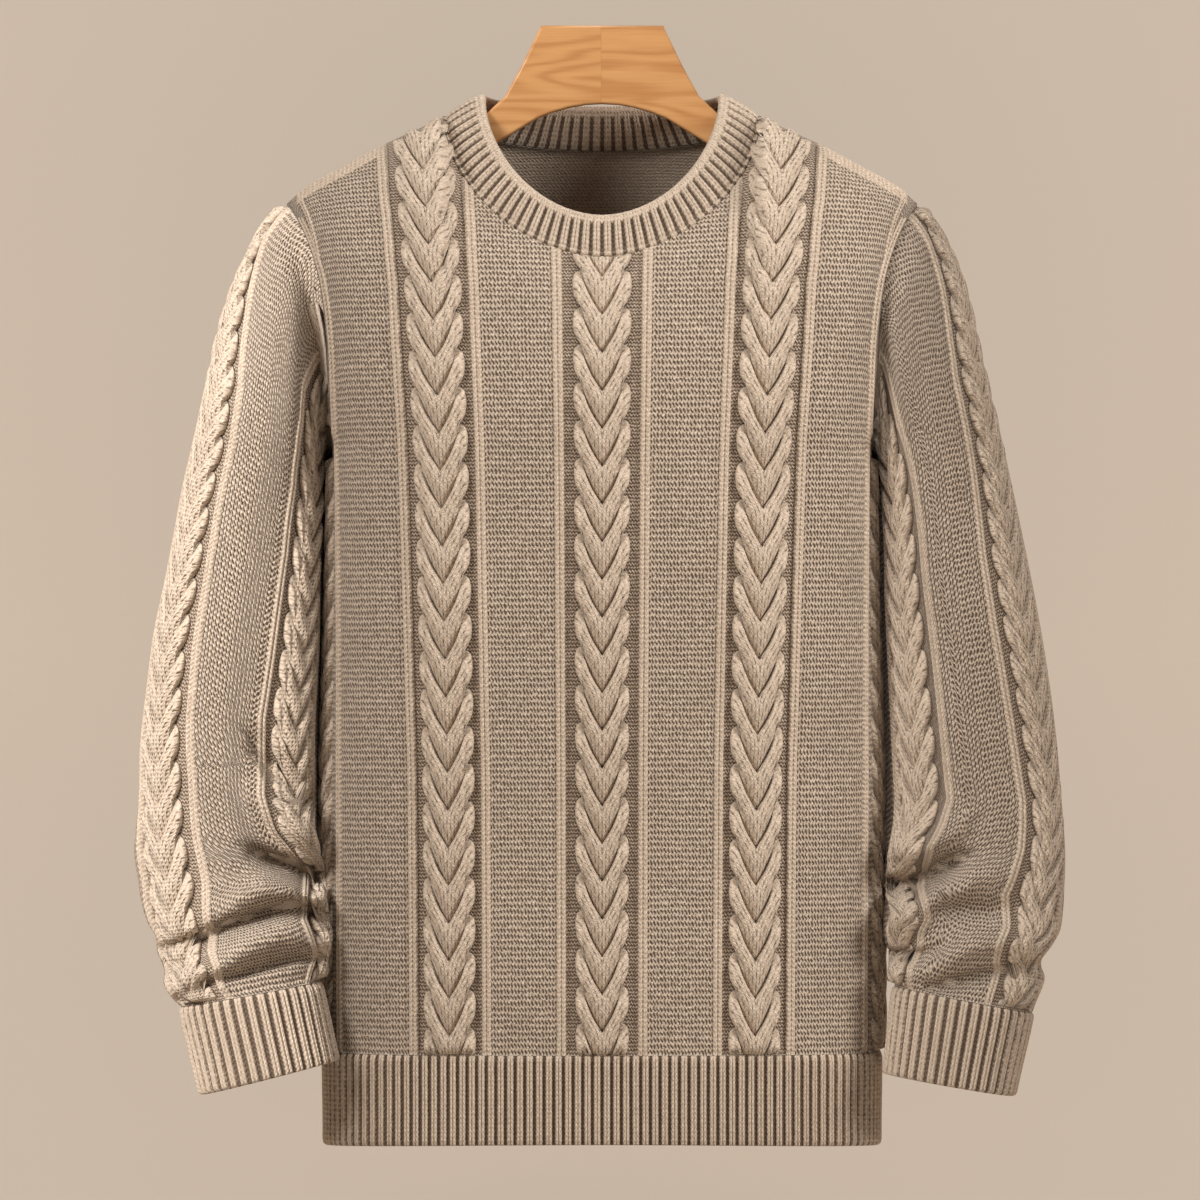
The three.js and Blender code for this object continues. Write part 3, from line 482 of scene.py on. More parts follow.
# --- yarn materials
class Value:
    """A shader value that can be reckoned with."""

    def __init__(self, tree, socket):
        self.tree, self.socket = tree, socket

    def reckon(self, operation, *others):
        node = self.tree.nodes.new("ShaderNodeMath")
        node.operation = operation
        for place, other in zip(node.inputs, (self, *others)):
            if isinstance(other, Value):
                self.tree.links.new(other.socket, place)
            else:
                place.default_value = other
        return Value(self.tree, node.outputs[0])

    def __add__(self, other):
        return self.reckon("ADD", other)

    def __sub__(self, other):
        return self.reckon("SUBTRACT", other)

    def __mul__(self, other):
        return self.reckon("MULTIPLY", other)

    def __truediv__(self, other):
        return self.reckon("DIVIDE", other)

    def __pow__(self, other):
        return self.reckon("POWER", other)

    def wave(self):
        """From 0 to 1 and back over each whole number."""
        return (self * (2 * math.pi)).reckon("COSINE") * 0.5 + 0.5

    def swing(self):
        return (self * (2 * math.pi)).reckon("SINE")

    def away(self):
        """Distance from the nearest whole number, 0 to 1."""
        return ((self + 0.5).reckon("FRACT") - 0.5).reckon("ABSOLUTE") * 2

    def floor(self):
        return self.reckon("FLOOR")

    def clamp(self):
        node = self.tree.nodes.new("ShaderNodeClamp")
        self.tree.links.new(self.socket, node.inputs[0])
        return Value(self.tree, node.outputs[0])


def new_tree(name):
    material = bpy.data.materials.new(name)
    material.use_nodes = True
    tree = material.node_tree
    shader = tree.nodes["Principled BSDF"]
    return material, tree, shader


def set_numbers(shader, **numbers):
    """Sets the shader's own sockets, named with _ for each space."""
    for name, number in numbers.items():
        shader.inputs[name.replace("_", " ")].default_value = number


def add_bump(tree, shader, height, strength, distance):
    bump = tree.nodes.new("ShaderNodeBump")
    bump.inputs["Strength"].default_value = strength
    bump.inputs["Distance"].default_value = distance
    tree.links.new(height.socket, bump.inputs["Height"])
    tree.links.new(bump.outputs["Normal"], shader.inputs["Normal"])


def noise(tree, vector, scale, detail=2.0, rough=0.5):
    node = tree.nodes.new("ShaderNodeTexNoise")
    node.inputs["Scale"].default_value = scale
    node.inputs["Detail"].default_value = detail
    node.inputs["Roughness"].default_value = rough
    tree.links.new(vector, node.inputs["Vector"])
    return Value(tree, node.outputs["Fac"])


def blend_colours(tree, share, low, high):
    node = tree.nodes.new("ShaderNodeMix")
    node.data_type = "RGBA"
    tree.links.new(share.socket, node.inputs[0])
    for place, colour in ((node.inputs[6], low), (node.inputs[7], high)):
        if isinstance(colour, tuple):
            place.default_value = (*colour, 1)
        else:
            tree.links.new(colour, place)
    return node.outputs[2]


# Each knit pattern's height gives the bump and also the painted shade of its low places.
def garter(a, b):
    """Wavy beaded ridges, with pits and bridges between them set half a stitch aside."""
    ridge = (b / GARTER_PITCH + a.swing() * 0.17).wave()
    bead = a.wave()
    return ridge * (bead * 0.42 + 0.58) + (ridge * -1 + 1) * (bead * -0.75 + 0.34)


def purl(a, b):
    ridge = (b / 2.5 + a.swing() * 0.16).wave()
    return ridge * 0.6 + (a + b / 5.0).wave() * 0.3


def purl_painted_darker(a, b):
    """Purl stitches that lie low between raised strips, set 0.3 lower so that they get more painted shade."""
    return purl(a, b) - 0.3


def stockinette(a, b):
    """Columns of small V stitches, each column centred on a whole number."""
    away = a.away()
    legs = (b / 3.3 - away * 0.55).wave()
    groove = (away * -1 + 1) ** 10
    return legs * 0.45 + (away * away * -0.4 + 0.5) - groove * 0.25


# The purl gutter between ribs, sunk in the bump and darkened with painted shade.
def rib_gutter(a):
    return ((a / 3).away() * -5 + 2).clamp()


def ribbing(a, b):
    """Pairs of knit wales with a purl gutter between one pair and the next."""
    return stockinette(a, b) - rib_gutter(a) * 1.3


def band_ribbing(a, b):
    """The neckband's ribbing, which ends in a smooth rolled edge."""
    gutter = rib_gutter(a) * (b * -0.4 + BAND_SMOOTH_FROM * 0.4).clamp()
    return stockinette(a, b) - gutter * 1.3


def strands(a, b):
    """Yarns that run along a cable strand, with slanted stitches and gaps here and there, low in the bump and
    darkened with painted shade.
    """
    edge = a.away()
    legs = (b / 2.9 + edge * 0.6).wave()
    gap = (b / 9.3 + a.floor() * 0.37).wave() * 0.8 + 0.3
    return legs * 0.45 + (edge ** 3) * gap * -0.9 + 0.6


LIGHT_YARN = (0.700, 0.572, 0.452)
DARK_YARN = (0.340, 0.257, 0.187)
# Colour of the painted shade that the yarn's low places are blended towards
PAINTED_SHADE_COLOUR = (0.105, 0.068, 0.044)


def yarn(name, pattern, stitch_depth, painted_shade_strength, wobble=0.1):
    """A heather wool knit whose low places are darkened with painted shade; its fourth argument sets how strongly.
    """
    material, tree, shader = new_tree(name)
    place = tree.nodes.new("ShaderNodeTexCoord").outputs["Object"]
    layer = tree.nodes.new("ShaderNodeUVMap")
    layer.uv_map = "cloth"
    split = tree.nodes.new("ShaderNodeSeparateXYZ")
    tree.links.new(layer.outputs["UV"], split.inputs[0])
    a, b = Value(tree, split.outputs[0]), Value(tree, split.outputs[1])
    uneven = noise(tree, place, 110, 1.5) - 0.5
    drift = noise(tree, place, 71, 1.5) - 0.5
    jolt = noise(tree, place, 390, 1.0) - 0.5
    slip = noise(tree, place, 330, 1.0) - 0.5
    a = a + uneven * (wobble * 2) + jolt * (wobble * 4)
    b = b + drift * (wobble * 10) + slip * (wobble * 14)
    height = pattern(a, b)
    fibre = noise(tree, place, 1500, 2.5, 0.65)
    fleck = noise(tree, place, 620, 2.0, 0.7)
    cloud = noise(tree, place, 14, 2.0)
    heather = (fleck - 0.5) * 1.5 + (fibre - 0.5) * 1.1 + (cloud - 0.5) * 0.35 + 0.52
    colour = blend_colours(tree, heather.clamp(), DARK_YARN, LIGHT_YARN)
    # Painted shade: the lower the knit's height, the more its colour goes to the painted shade colour
    painted_shade = ((height * -1 + 0.62) * painted_shade_strength).clamp()
    colour = blend_colours(tree, painted_shade, colour, PAINTED_SHADE_COLOUR)
    tree.links.new(colour, shader.inputs["Base Color"])
    add_bump(tree, shader, height + fibre * 0.22 + fleck * 0.18, 1.0, stitch_depth * MM)
    set_numbers(shader, Roughness=0.88, Specular_IOR_Level=0.25, Sheen_Weight=0.22,
                Sheen_Roughness=0.45, Sheen_Tint=(1.0, 0.9, 0.8, 1))
    return material


GARTER_PITCH = 4.1
BAND_SMOOTH_FROM = 24
GARTER_KNIT = yarn("garter_knit", garter, 1.5, 1.6, 0.17)
RIB_KNIT = yarn("rib_knit", stockinette, 0.8, 1.25)
WELT_KNIT = yarn("welt_knit", ribbing, 0.7, 0.8, 0.07)
BAND_KNIT = yarn("band_knit", band_ribbing, 0.7, 0.8, 0.07)
GUTTER_KNIT = yarn("gutter_knit", purl_painted_darker, 0.9, 1.35)
CABLE_KNIT = yarn("cable_knit", strands, 0.95, 1.0, 0.05)
INSIDE_KNIT = yarn("inside_knit", purl, 0.7, 0.8)
BODY_KNITS = [GARTER_KNIT, RIB_KNIT, GUTTER_KNIT, INSIDE_KNIT]
ZONE = {"garter": 0, "rib": 1, "gutter": 2, "inside": 3}
STITCH = 2.45


# --- strips and panels
def strip_columns(strips, stitch_span):
    """Column places, reliefs, stitch numbers at both sides of each strip and zones."""
    places, reliefs, cells, zones = [], [], [], []
    for low, high, knit, count in strips:
        t = np.linspace(0, 1, count + 1)
        if knit == "rib":
            relief = rib_wave(mix(RIB_FROM, RIB_TO, t)) * RIB_DEPTH - 0.3
            stitch = mix(0.5, 2.5, t)
        else:
            relief = np.full(count + 1, 0.35 if knit == "garter" else -GUTTER_DEPTH)
            stitch = t * round((high - low) / stitch_span)
        at = mix(low, high, t)
        if places:
            reliefs[-1] = min(reliefs[-1], relief[0])
            at, relief = at[1:], relief[1:]
        places.extend(at)
        reliefs.extend(relief)
        cells.extend(zip(stitch[:-1], stitch[1:]))
        zones.extend([ZONE[knit]] * count)
    return np.array(places), np.array(reliefs), np.array(cells), np.array(zones)


def mirror_strips(strips):
    return [(-high, -low, knit, count) for low, high, knit, count in reversed(strips)] + strips


PANEL_ROWS = 292
INNER_RATIO = 4


def cell_grid(skin, ids, cells, along, zones, flip):
    """Fills a grid whose stitch numbers start anew in each strip."""
    rows, columns = ids.shape
    corners = corners_of(ids)
    left = np.broadcast_to(cells[..., 0], (rows, columns - 1))
    right = np.broadcast_to(cells[..., 1], (rows, columns - 1))
    a = np.stack([left[:-1], right[:-1], right[1:], left[1:]], axis=2)
    uv = np.stack([a, corners_of(along)], axis=-1)
    zone = np.broadcast_to(zones, (rows - 1, columns - 1)).reshape(-1)
    skin.faces(corners.reshape(-1, 4), uv.reshape(-1, 4, 2), zone, flip)


def close_sheet(skin, outer, inner, ratio, cloth, zone, flip):
    """Walls along the four edges between an outer grid and its coarser inner one."""
    edges = [
        (outer[0], inner[0], cloth[0], not flip),
        (outer[-1], inner[-1], cloth[-1], flip),
        (outer[:, 0], inner[:, 0], cloth[:, 0], flip),
        (outer[:, -1], inner[:, -1], cloth[:, -1], not flip),
    ]
    for fine, coarse, uv, turned in edges:
        skin.rim(fine, coarse, ratio, uv, zone, turned)


def panel(name, cut, strips):
    places, reliefs, cells, zones = strip_columns(mirror_strips(strips), STITCH)
    spare = (-(len(places) - 1)) % INNER_RATIO
    if spare:
        raise ValueError(f"{name}: add {spare} columns")
    tops = column_tops(places, cut)
    share = np.linspace(0, 1, 1201)
    rows = []
    along = []
    for s, top in zip(places, tops):
        z = PANEL_BOTTOM_Z + (top - PANEL_BOTTOM_Z) * (1 - (1 - share) ** 1.7)
        point, _ = torso_surface(s, z, cut)
        length = run_along(point)
        even = np.linspace(0, length[-1], PANEL_ROWS + 1)
        rows.append(np.interp(even, length, z))
        along.append(even)
    z = np.array(rows).T
    along = np.array(along).T
    s = np.broadcast_to(places, z.shape)
    point, normal = torso_surface(s, z, cut)
    top = np.broadcast_to(tops, z.shape)
    fade = smooth(0, 5, top - z) * smooth(0, 3, z - PANEL_BOTTOM_Z)
    edge = 1 - smooth(SIDE_SEAM - 3, SIDE_SEAM, np.abs(s))
    relief = np.broadcast_to(reliefs, z.shape) * fade * edge
    skin = Skin()
    outer = skin.add(point + normal * relief[..., None])
    pick = (slice(None, None, INNER_RATIO), slice(None, None, INNER_RATIO))
    inner = skin.add(point[pick] - normal[pick] * WALL)
    flip = cut["side"] > 0
    cell_grid(skin, outer, cells, along, zones, flip)
    cloth = np.stack([s / STITCH, along], axis=-1)
    skin.grid(inner, cloth[pick], ZONE["inside"], not flip)
    close_sheet(skin, outer, inner, INNER_RATIO, cloth, ZONE["inside"], not flip)
    return skin.mesh(name, BODY_KNITS)


# --- cables
def rise_at(side):
    """Height of a chevron's boundary over its point, in periods."""
    inside = np.minimum(side, 0.8)
    return 1.06 * inside + 0.5 * inside ** 3 + 0.8 * np.maximum(side - 0.8, 0)


HALF_SIDES = np.array([0.07, 0.17, 0.28, 0.39, 0.5, 0.61, 0.71, 0.8, 0.88, 0.94, 0.975, 1])
CABLE_SIDES = np.concatenate([-HALF_SIDES[::-1], [0], HALF_SIDES])

# Outline of a lobe: how far it reaches across by part of its cell
LOBE_PARTS = (0, 0.12, 0.3, 0.5, 0.72, 0.88, 0.96, 1)
LOBE_REACH = (0.72, 0.85, 0.96, 1.0, 1.0, 0.94, 0.83, 0.72)
YARN_TURN = 1.6


def cable_cells(low, high, phase):
    """Across, along, relief and yarn coordinates of a cable's rows of points.

    Each cell is one strand: it comes out from under its neighbour as a lobe at the edge, runs down
    to the point of the V, turns down the middle and dips under the next V.
    """
    first = math.floor((low - phase) / PERIOD - rise_at(1))
    count = math.ceil((high - phase) / PERIOD) - first
    cell = np.repeat(np.arange(first, first + count), len(CELL))[:, None]
    part = np.tile(CELL, count)[:, None]
    side = np.abs(CABLE_SIDES)[None, :]
    along = phase + PERIOD * (cell + part + rise_at(side))
    scallop = np.interp(part, LOBE_PARTS, LOBE_REACH)
    across = np.sign(CABLE_SIDES)[None, :] * side * (1 - (1 - scallop) * side ** 2)

    outside = smooth(0.58, 0.84, side)
    lower_edge = mix(0.12, 0.92, outside)
    upper_edge = mix(0.92, 0.02, outside)
    turn = mix(smooth(0, 0.62, part), smooth(0.45, 1, part), outside)
    height = mix(lower_edge, upper_edge, turn) + 0.2 * np.sin(np.pi * part) ** 0.8
    height = height - 0.34 * np.exp(-((part / 0.06) ** 2)) - 0.2 * np.exp(-(((1 - part) / 0.045) ** 2))
    dome = np.sqrt(np.clip(1 - side ** 6, 0, 1))
    relief = CABLE_HEIGHT * height * dome - 0.9 * (1 - dome)

    slope = (1.06 + 1.5 * np.minimum(side, 0.8) ** 2) * PERIOD / CABLE_HALF
    under = (1 - part) * PERIOD / np.hypot(1, slope)
    middle = np.abs(across) * CABLE_HALF
    yarns = -YARN_TURN * np.log(np.exp(-under / YARN_TURN) + np.exp(-middle / YARN_TURN)) / YARN_PITCH
    return across, along, relief, np.stack([yarns + 0.5, along + 0 * across], axis=-1)


def cable_skin(skin, place, low, high, phase):
    """Adds one cable. place(across, along, relief) gives points and which of them are clipped."""
    across, along, relief, cloth = cable_cells(low, high, phase)
    points, clipped = place(across, along, relief)
    middle = len(CABLE_SIDES) // 2
    under, _ = place(across[:, middle:middle + 1], along[:, middle:middle + 1], -1.1 + 0 * along[:, :1])
    ids = skin.add(np.concatenate([points, under], axis=1))
    ring = closed(ids)
    uv = np.concatenate([cloth, cloth[:, -1:], cloth[:, :1]], axis=1)
    flags = np.concatenate([clipped, clipped[:, middle:middle + 1], clipped[:, :1]], axis=1)
    gone = flags[:-1, :-1] & flags[:-1, 1:] & flags[1:, 1:] & flags[1:, :-1]
    skin.grid(ring, uv, 0, place.flip, ~gone)


class TorsoPlace:
    def __init__(self, cut, middle, low, high):
        self.cut, self.middle, self.low, self.high = cut, middle, low, high
        self.flip = cut["side"] > 0

    def __call__(self, across, along, relief):
        s = self.middle + CABLE_HALF * across
        top = np.minimum(column_top(s, self.cut) - 0.6, self.high)
        z = np.clip(along, self.low, top)
        fade = smooth(0, 3, top - z) * smooth(0, 3, z - self.low)
        point, normal = torso_surface(s, z, self.cut)
        height = relief * fade - EDGE_SINK * (1 - fade)
        return point + normal * height[..., None], (along <= self.low) | (along >= top)


EDGE_SHARES = np.linspace(0, 1, 13)


def edge_rib(skin, path, first, width, pairs, flip):
    """A raised rib along an edge. path(inset) gives the line that runs inset mm inside the edge."""
    lines, stitches = [], []
    shares = np.concatenate([EDGE_SHARES + i for i in range(pairs)]) / pairs
    waves = np.tile(rib_wave(mix(RIB_FROM, RIB_TO, EDGE_SHARES)), pairs)
    for share, wave in zip(shares, waves):
        point, normal = path(first + share * width)
        steps = np.arange(len(point))
        fade = smooth(0, 4, steps) * smooth(0, 4, steps[::-1])
        lines.append(point + normal * (wave * 2.3 * fade - 0.7)[:, None])
        stitches.append(0.5 + share * pairs * 2)
    point, normal = path(first + width / 2)
    lines.append(point - normal * 1.5)
    ids = skin.add(np.array(lines))
    along = run_along(point)
    cloth = np.stack(np.broadcast_arrays(np.array([*stitches, 0.5])[:, None], along[None, :]), axis=-1)
    skin.grid(closed(ids, 0), closed(cloth, 0), 1, flip)


def edge_ribs(skin, cut):
    """Ribs along both armholes and both shoulders."""
    heights = np.linspace(UNDERARM_Z + 1, -127, 70)
    for side in (-1, 1):
        def armhole(inset):
            return cloth_at(side * (half_at(heights) - inset), heights, cut)

        def shoulder(inset):
            x = np.linspace(147, 209, 60)
            return cloth_at(side * x, shoulder_at(x) - inset, cut)

        turned = side * cut["side"] < 0
        edge_rib(skin, armhole, 0.5, 4.6, 1, not turned)
        edge_rib(skin, shoulder, 1.2, 7.5, 2, not turned)


def torso_cables(name, cut):
    skin = Skin()
    low = PANEL_BOTTOM_Z + 0.2
    for middle in BODY_CABLES:
        phase = CABLE_V_Z - (3 if middle else 0)
        cable_skin(skin, TorsoPlace(cut, middle, low, -40), low, -60, phase)
    if cut is FRONT:
        for middle in SIDE_CABLES:
            place = TorsoPlace(cut, middle, low, UNDERARM_Z - 6)
            cable_skin(skin, place, low, UNDERARM_Z, CABLE_V_Z + 6)
    edge_ribs(skin, cut)
    return skin.mesh(name, [CABLE_KNIT, RIB_KNIT])


# --- sleeves
DRIFT_ANGLES = (0, 14, 64, 109, 158, 220, 300, 360)
DRIFT_OUTER = (0.9, 1, 1, 0, 0, 0.2, 0.6, 0.9)
DRIFT_INNER = (0, 0, 0, 1, 1, 0.3, 0, 0)
CREASE_LIMIT = 36
SLEEVE_BOW = 13
CABLE_CLEAR = 4.8
SEAM_CLEAR = 1.4


def crease_depth(x, z, creases):
    """How far creases push the cloth back at points of the front."""
    total = np.zeros(np.shape(x))
    for above, below, line in creases:
        deepest = np.zeros(np.shape(x))
        for (ax, az, start), (bx, bz, end) in zip(line, line[1:]):
            dx, dz = bx - ax, bz - az
            share = np.clip(((x - ax) * dx + (z - az) * dz) / (dx * dx + dz * dz), 0, 1)
            off = np.hypot(x - ax - share * dx, z - az - share * dz)
            width = np.where(dx * (z - az) - dz * (x - ax) > 0, above, below)
            deepest = np.maximum(deepest, mix(start, end, share) * np.exp(-(off / width) ** 2))
        total += deepest
    return np.minimum(total, CREASE_LIMIT)


class Sleeve:
    """The form of one sleeve by angle in degrees and ring number."""

    def __init__(self, rows, folds, creases, rolls, drift):
        self.creases, self.rolls = creases, rolls
        table = np.array(rows, float)
        self.drift = np.array(drift, float).T
        rings = np.arange(len(rows))
        self.tracks = [track(rings, table[:, i]) for i in range(table.shape[1])]
        self.folds = folds
        self.side = math.copysign(1, rows[0][0])
        at = np.linspace(0, LAST_RING, 481)
        angles = np.arange(0, 360, 15)[:, None]
        line = self.base(angles, at[None, :])
        step = np.linalg.norm(np.diff(line, axis=1), axis=2).mean(axis=0)
        self.length_rings, self.lengths = at, np.concatenate([[0], np.cumsum(step)])

    def base(self, angle, at):
        angle, at = np.broadcast_arrays(np.asarray(angle, float), np.asarray(at, float))
        turn = np.radians(angle)
        out_x, out_z, in_x, in_z, depth, y = (read(at) for read in self.tracks)
        cos, sin = np.cos(turn), np.sin(turn)
        x = (out_x + in_x) / 2 + (out_x - in_x) / 2 * cos
        z = (out_z + in_z) / 2 + (out_z - in_z) / 2 * cos
        reach = np.hypot(out_x - in_x, out_z - in_z)
        bow = SLEEVE_BOW * (1 - smooth(0, 7, at)) * sin ** 2
        x = x - self.side * np.abs(out_z - in_z) / reach * bow
        z = z + np.abs(out_x - in_x) / reach * bow
        point = np.stack([x, y - depth * sin, z], axis=-1)
        share = np.clip(1 - at, 0, 1)[..., None] ** 2
        return self.lean(mix(point, self.armhole(turn), share), angle, at)

    def lean(self, point, angle, at):
        """Lets the side that is towards the body and the back rest against the body."""
        x, y, z = np.moveaxis(point, -1, 0)
        body = half_at(z) * (1 - np.clip(np.abs(y) / depth_at(z), 0, 1) ** SECTION_POWER) ** (1 / SECTION_POWER)
        spare = mix(CABLE_CLEAR, SEAM_CLEAR, smooth(-5, 4, y))
        gap = np.maximum(self.side * x - body - spare, 0)
        round_ = angle % 360
        window = smooth(176, 206, round_) * (1 - smooth(232, 290, round_))
        window = window * smooth(0.8, 3, at) * (1 - smooth(20, 23, at))
        return np.stack([x - self.side * gap * window, y, z], axis=-1)

    def turned(self, angle, at):
        """The angle of a strip after its drift round the sleeve."""
        rings, outer, inner = self.drift
        share = [np.interp(angle % 360, DRIFT_ANGLES, weights) for weights in (DRIFT_OUTER, DRIFT_INNER)]
        return angle + share[0] * np.interp(at, rings, outer) + share[1] * np.interp(at, rings, inner)

    def armhole(self, turn):
        top = shoulder_at(np.array(SHOULDER_X[-1]))
        z = (top + UNDERARM_Z) / 2 + (top - UNDERARM_Z) / 2 * np.cos(turn)
        half = half_at(z)
        front = -np.maximum(depth_of(half, z, FRONT), 0)
        back = np.maximum(depth_of(half, z, BACK), 0)
        y = np.where(np.sin(turn) >= 0, front, back) * 0.985
        return np.stack([self.side * (half - 1.2), y, z], axis=-1)

    def facing(self, angle, at):
        around = self.base(angle + 0.5, at) - self.base(angle - 0.5, at)
        ahead, behind = np.minimum(at + 0.05, LAST_RING), np.maximum(at - 0.05, 0)
        down = self.base(angle, ahead) - self.base(angle, behind)
        return unit(np.cross(around, down)) * self.side

    def fold_depth(self, angle, at):
        total = np.zeros(np.broadcast(angle, at).shape)
        for middle, ring, span, above, below, slant, depth in self.folds:
            away = (angle - middle + 540) % 360 - 180
            line = at - ring - slant * away
            line = line / np.where(line < 0, above, below)
            window = 1 - smooth(0.5, 1, np.abs(away) / span)
            total += depth * window * np.exp(-line * line)
        return total * smooth(LAST_RING, LAST_RING - 1, at) * smooth(3, 6, at)

    def surface(self, angle, at, relief):
        angle, at = np.broadcast_arrays(np.asarray(angle, float), np.asarray(at, float))
        angle = self.turned(angle, at)
        point, normal = self.base(angle, at), self.facing(angle, at)
        front = smooth(-0.15, 0.35, np.sin(np.radians(angle)))
        ends = smooth(0, 0.7, at) * smooth(LAST_RING, LAST_RING - 0.7, at)
        x, z = point[..., 0], point[..., 2]
        push = (crease_depth(x, z, self.creases) - crease_depth(x, z, self.rolls)) * front * ends
        point = point + np.stack([0 * push, push, 0 * push], axis=-1)
        return point + normal * (relief + self.fold_depth(angle, at))[..., None]

    def ring_at(self, length):
        return np.interp(length, self.lengths, self.length_rings)


class SleevePlace:
    def __init__(self, sleeve, middle):
        self.sleeve, self.middle = sleeve, middle
        self.flip = sleeve.side < 0
        self.rings = np.linspace(0, LAST_RING, 481)
        line = sleeve.surface(middle, self.rings, 0)
        self.lengths = run_along(line)
        self.total = self.lengths[-1]
        self.phase = -np.interp(-SLEEVE_V_Z, -line[:, 2], self.lengths)

    def __call__(self, across, along, relief):
        angle = self.middle + SLEEVE_CABLE_HALF * across * -self.sleeve.side
        down = np.clip(-along, 1.0, self.total - 1.0)
        fade = smooth(0, 8, down - 1.0) * smooth(0, 4, self.total - 1.0 - down)
        at = np.interp(down, self.lengths, self.rings)
        height = relief * fade - EDGE_SINK * (1 - fade)
        point = self.sleeve.surface(angle, at, height)
        return point, (-along <= 1.0) | (-along >= self.total - 1.0)


SLEEVE_ROWS = 256
INSIDE_ANGLE = 3.1  # degrees to a stitch of the sleeve's inside


def fit_stitches(cells, zones, points):
    """Stitch numbers row by row, so that the garter's stitches keep their size in a stretched strip."""
    widths = np.linalg.norm(np.diff(points, axis=1), axis=2)
    fitted = np.broadcast_to(cells, widths.shape + (2,)).copy()
    starts = [0] + [i for i in range(1, len(zones)) if cells[i, 0] != cells[i - 1, 1]] + [len(zones)]
    for low, high in zip(starts, starts[1:]):
        if zones[low] == ZONE["garter"]:
            run = np.cumsum(widths[:, low:high], axis=1)
            run = np.concatenate([0 * run[:, :1], run], axis=1)
            run = (run - run[:, -1:] / 2) / STITCH
            fitted[:, low:high, 0] = run[:, :-1]
            fitted[:, low:high, 1] = run[:, 1:]
    return fitted


def sleeve_shell(name, sleeve):
    places, reliefs, cells, zones = strip_columns(SLEEVE_STRIPS, STITCH)
    lengths = np.linspace(0, sleeve.lengths[-1], SLEEVE_ROWS + 1)
    at = sleeve.ring_at(lengths)[:, None]
    around = places[:-1][None, :]
    fade = smooth(0, 5, lengths) * smooth(0, 4, lengths[-1] - lengths)
    relief = reliefs[:-1][None, :] * fade[:, None]
    flat = run_along(sleeve.surface(around, at, 0))
    flat = closed(flat)
    along = flat[-1] - flat
    skin = Skin()
    outer = skin.add(sleeve.surface(around, at, relief))
    inner_at, inner_around = at[::INNER_RATIO], around[:, ::INNER_RATIO]
    inner = skin.add(sleeve.surface(inner_around, inner_at, -WALL))
    ring, inner_ring = closed(outer), closed(inner)
    flip = sleeve.side > 0
    bare = sleeve.surface(places[None, :], at, 0)
    cell_grid(skin, ring, fit_stitches(cells, zones, bare), along, zones, flip)
    cloth = np.stack([np.broadcast_to(places / INSIDE_ANGLE, ring.shape), along], axis=-1)
    skin.grid(inner_ring, cloth[::INNER_RATIO, ::INNER_RATIO], ZONE["inside"], not flip)
    skin.rim(ring[0], inner_ring[0], INNER_RATIO, cloth[0], ZONE["inside"], flip)
    skin.rim(ring[-1], inner_ring[-1], INNER_RATIO, cloth[-1], ZONE["inside"], not flip)
    return skin.mesh(name, BODY_KNITS)


def sleeve_cables(name, sleeve):
    skin = Skin()
    for middle in SLEEVE_CABLES:
        place = SleevePlace(sleeve, middle)
        cable_skin(skin, place, -place.total, 0, place.phase)
    return skin.mesh(name, [CABLE_KNIT])


# --- ribbing
def rib_columns(count, closed):
    """Rib places in whole ribs, their wave and stitch numbers."""
    place = (np.arange(count)[:, None] + RIB_PLACES[None, :]).ravel()
    stitch = (np.arange(count)[:, None] * 3 + rib_stitch(RIB_PLACES)[None, :]).ravel()
    wave = np.tile(rib_wave(RIB_PLACES), count)
    if not closed:
        place, stitch, wave = np.append(place, count), np.append(stitch, count * 3), np.append(wave, 0)
    return place, stitch, wave


def ring_tube(name, place, ribs, profile, length, knit):
    """A ribbed ring. profile rows are (part, out, ridge) round its cross-section."""
    at, stitch, wave = rib_columns(ribs, True)
    skin = Skin()
    points = np.stack([place(at / ribs, part, out + ridge * RIB_HEIGHT * wave) for part, out, ridge in profile])
    ids = closed(closed(skin.add(points)), 0)
    down = np.array([part * length for part, _, _ in profile])
    down = np.append(down, down[0])
    a = np.append(stitch, ribs * 3)
    cloth = np.stack(np.broadcast_arrays(a[None, :], down[:, None]), axis=-1)
    skin.grid(ids, cloth, 0, place.flip)
    return skin.mesh(name, [knit])


RIB_HEIGHT = 2.3
CUFF_PROFILE = [
    (0.0, -0.6, 0.0), (0.03, -0.3, 0.7), (0.08, -0.4, 1), (0.25, -0.3, 1), (0.45, -0.4, 1), (0.65, -0.5, 1),
    (0.85, -0.5, 1), (0.95, -0.4, 1), (0.985, -0.5, 0.8), (1.0, -1.1, 0.4), (1.0, -1.9, 0.2),
    (0.97, -2.7, 0), (0.85, -2.8, 0), (0.6, -2.8, 0), (0.3, -2.8, 0), (0.0, -2.8, 0),
]


class CuffPlace:
    def __init__(self, top, bottom):
        self.top, self.bottom = np.array(top, float), np.array(bottom, float)
        self.side = math.copysign(1, top[0])
        self.flip = self.side < 0

    def __call__(self, share, part, out):
        turn = share * 2 * math.pi
        out_x, out_z, in_x, in_z, depth, y = mix(self.top, self.bottom, part)
        out_x, in_x = out_x + self.side * out, in_x - self.side * out
        cos, sin = np.cos(turn), np.sin(turn)
        x = (out_x + in_x) / 2 + (out_x - in_x) / 2 * cos
        z = (out_z + in_z) / 2 + (out_z - in_z) / 2 * cos
        return np.stack([x, y - (depth + out) * sin, z + 0 * x], axis=-1)


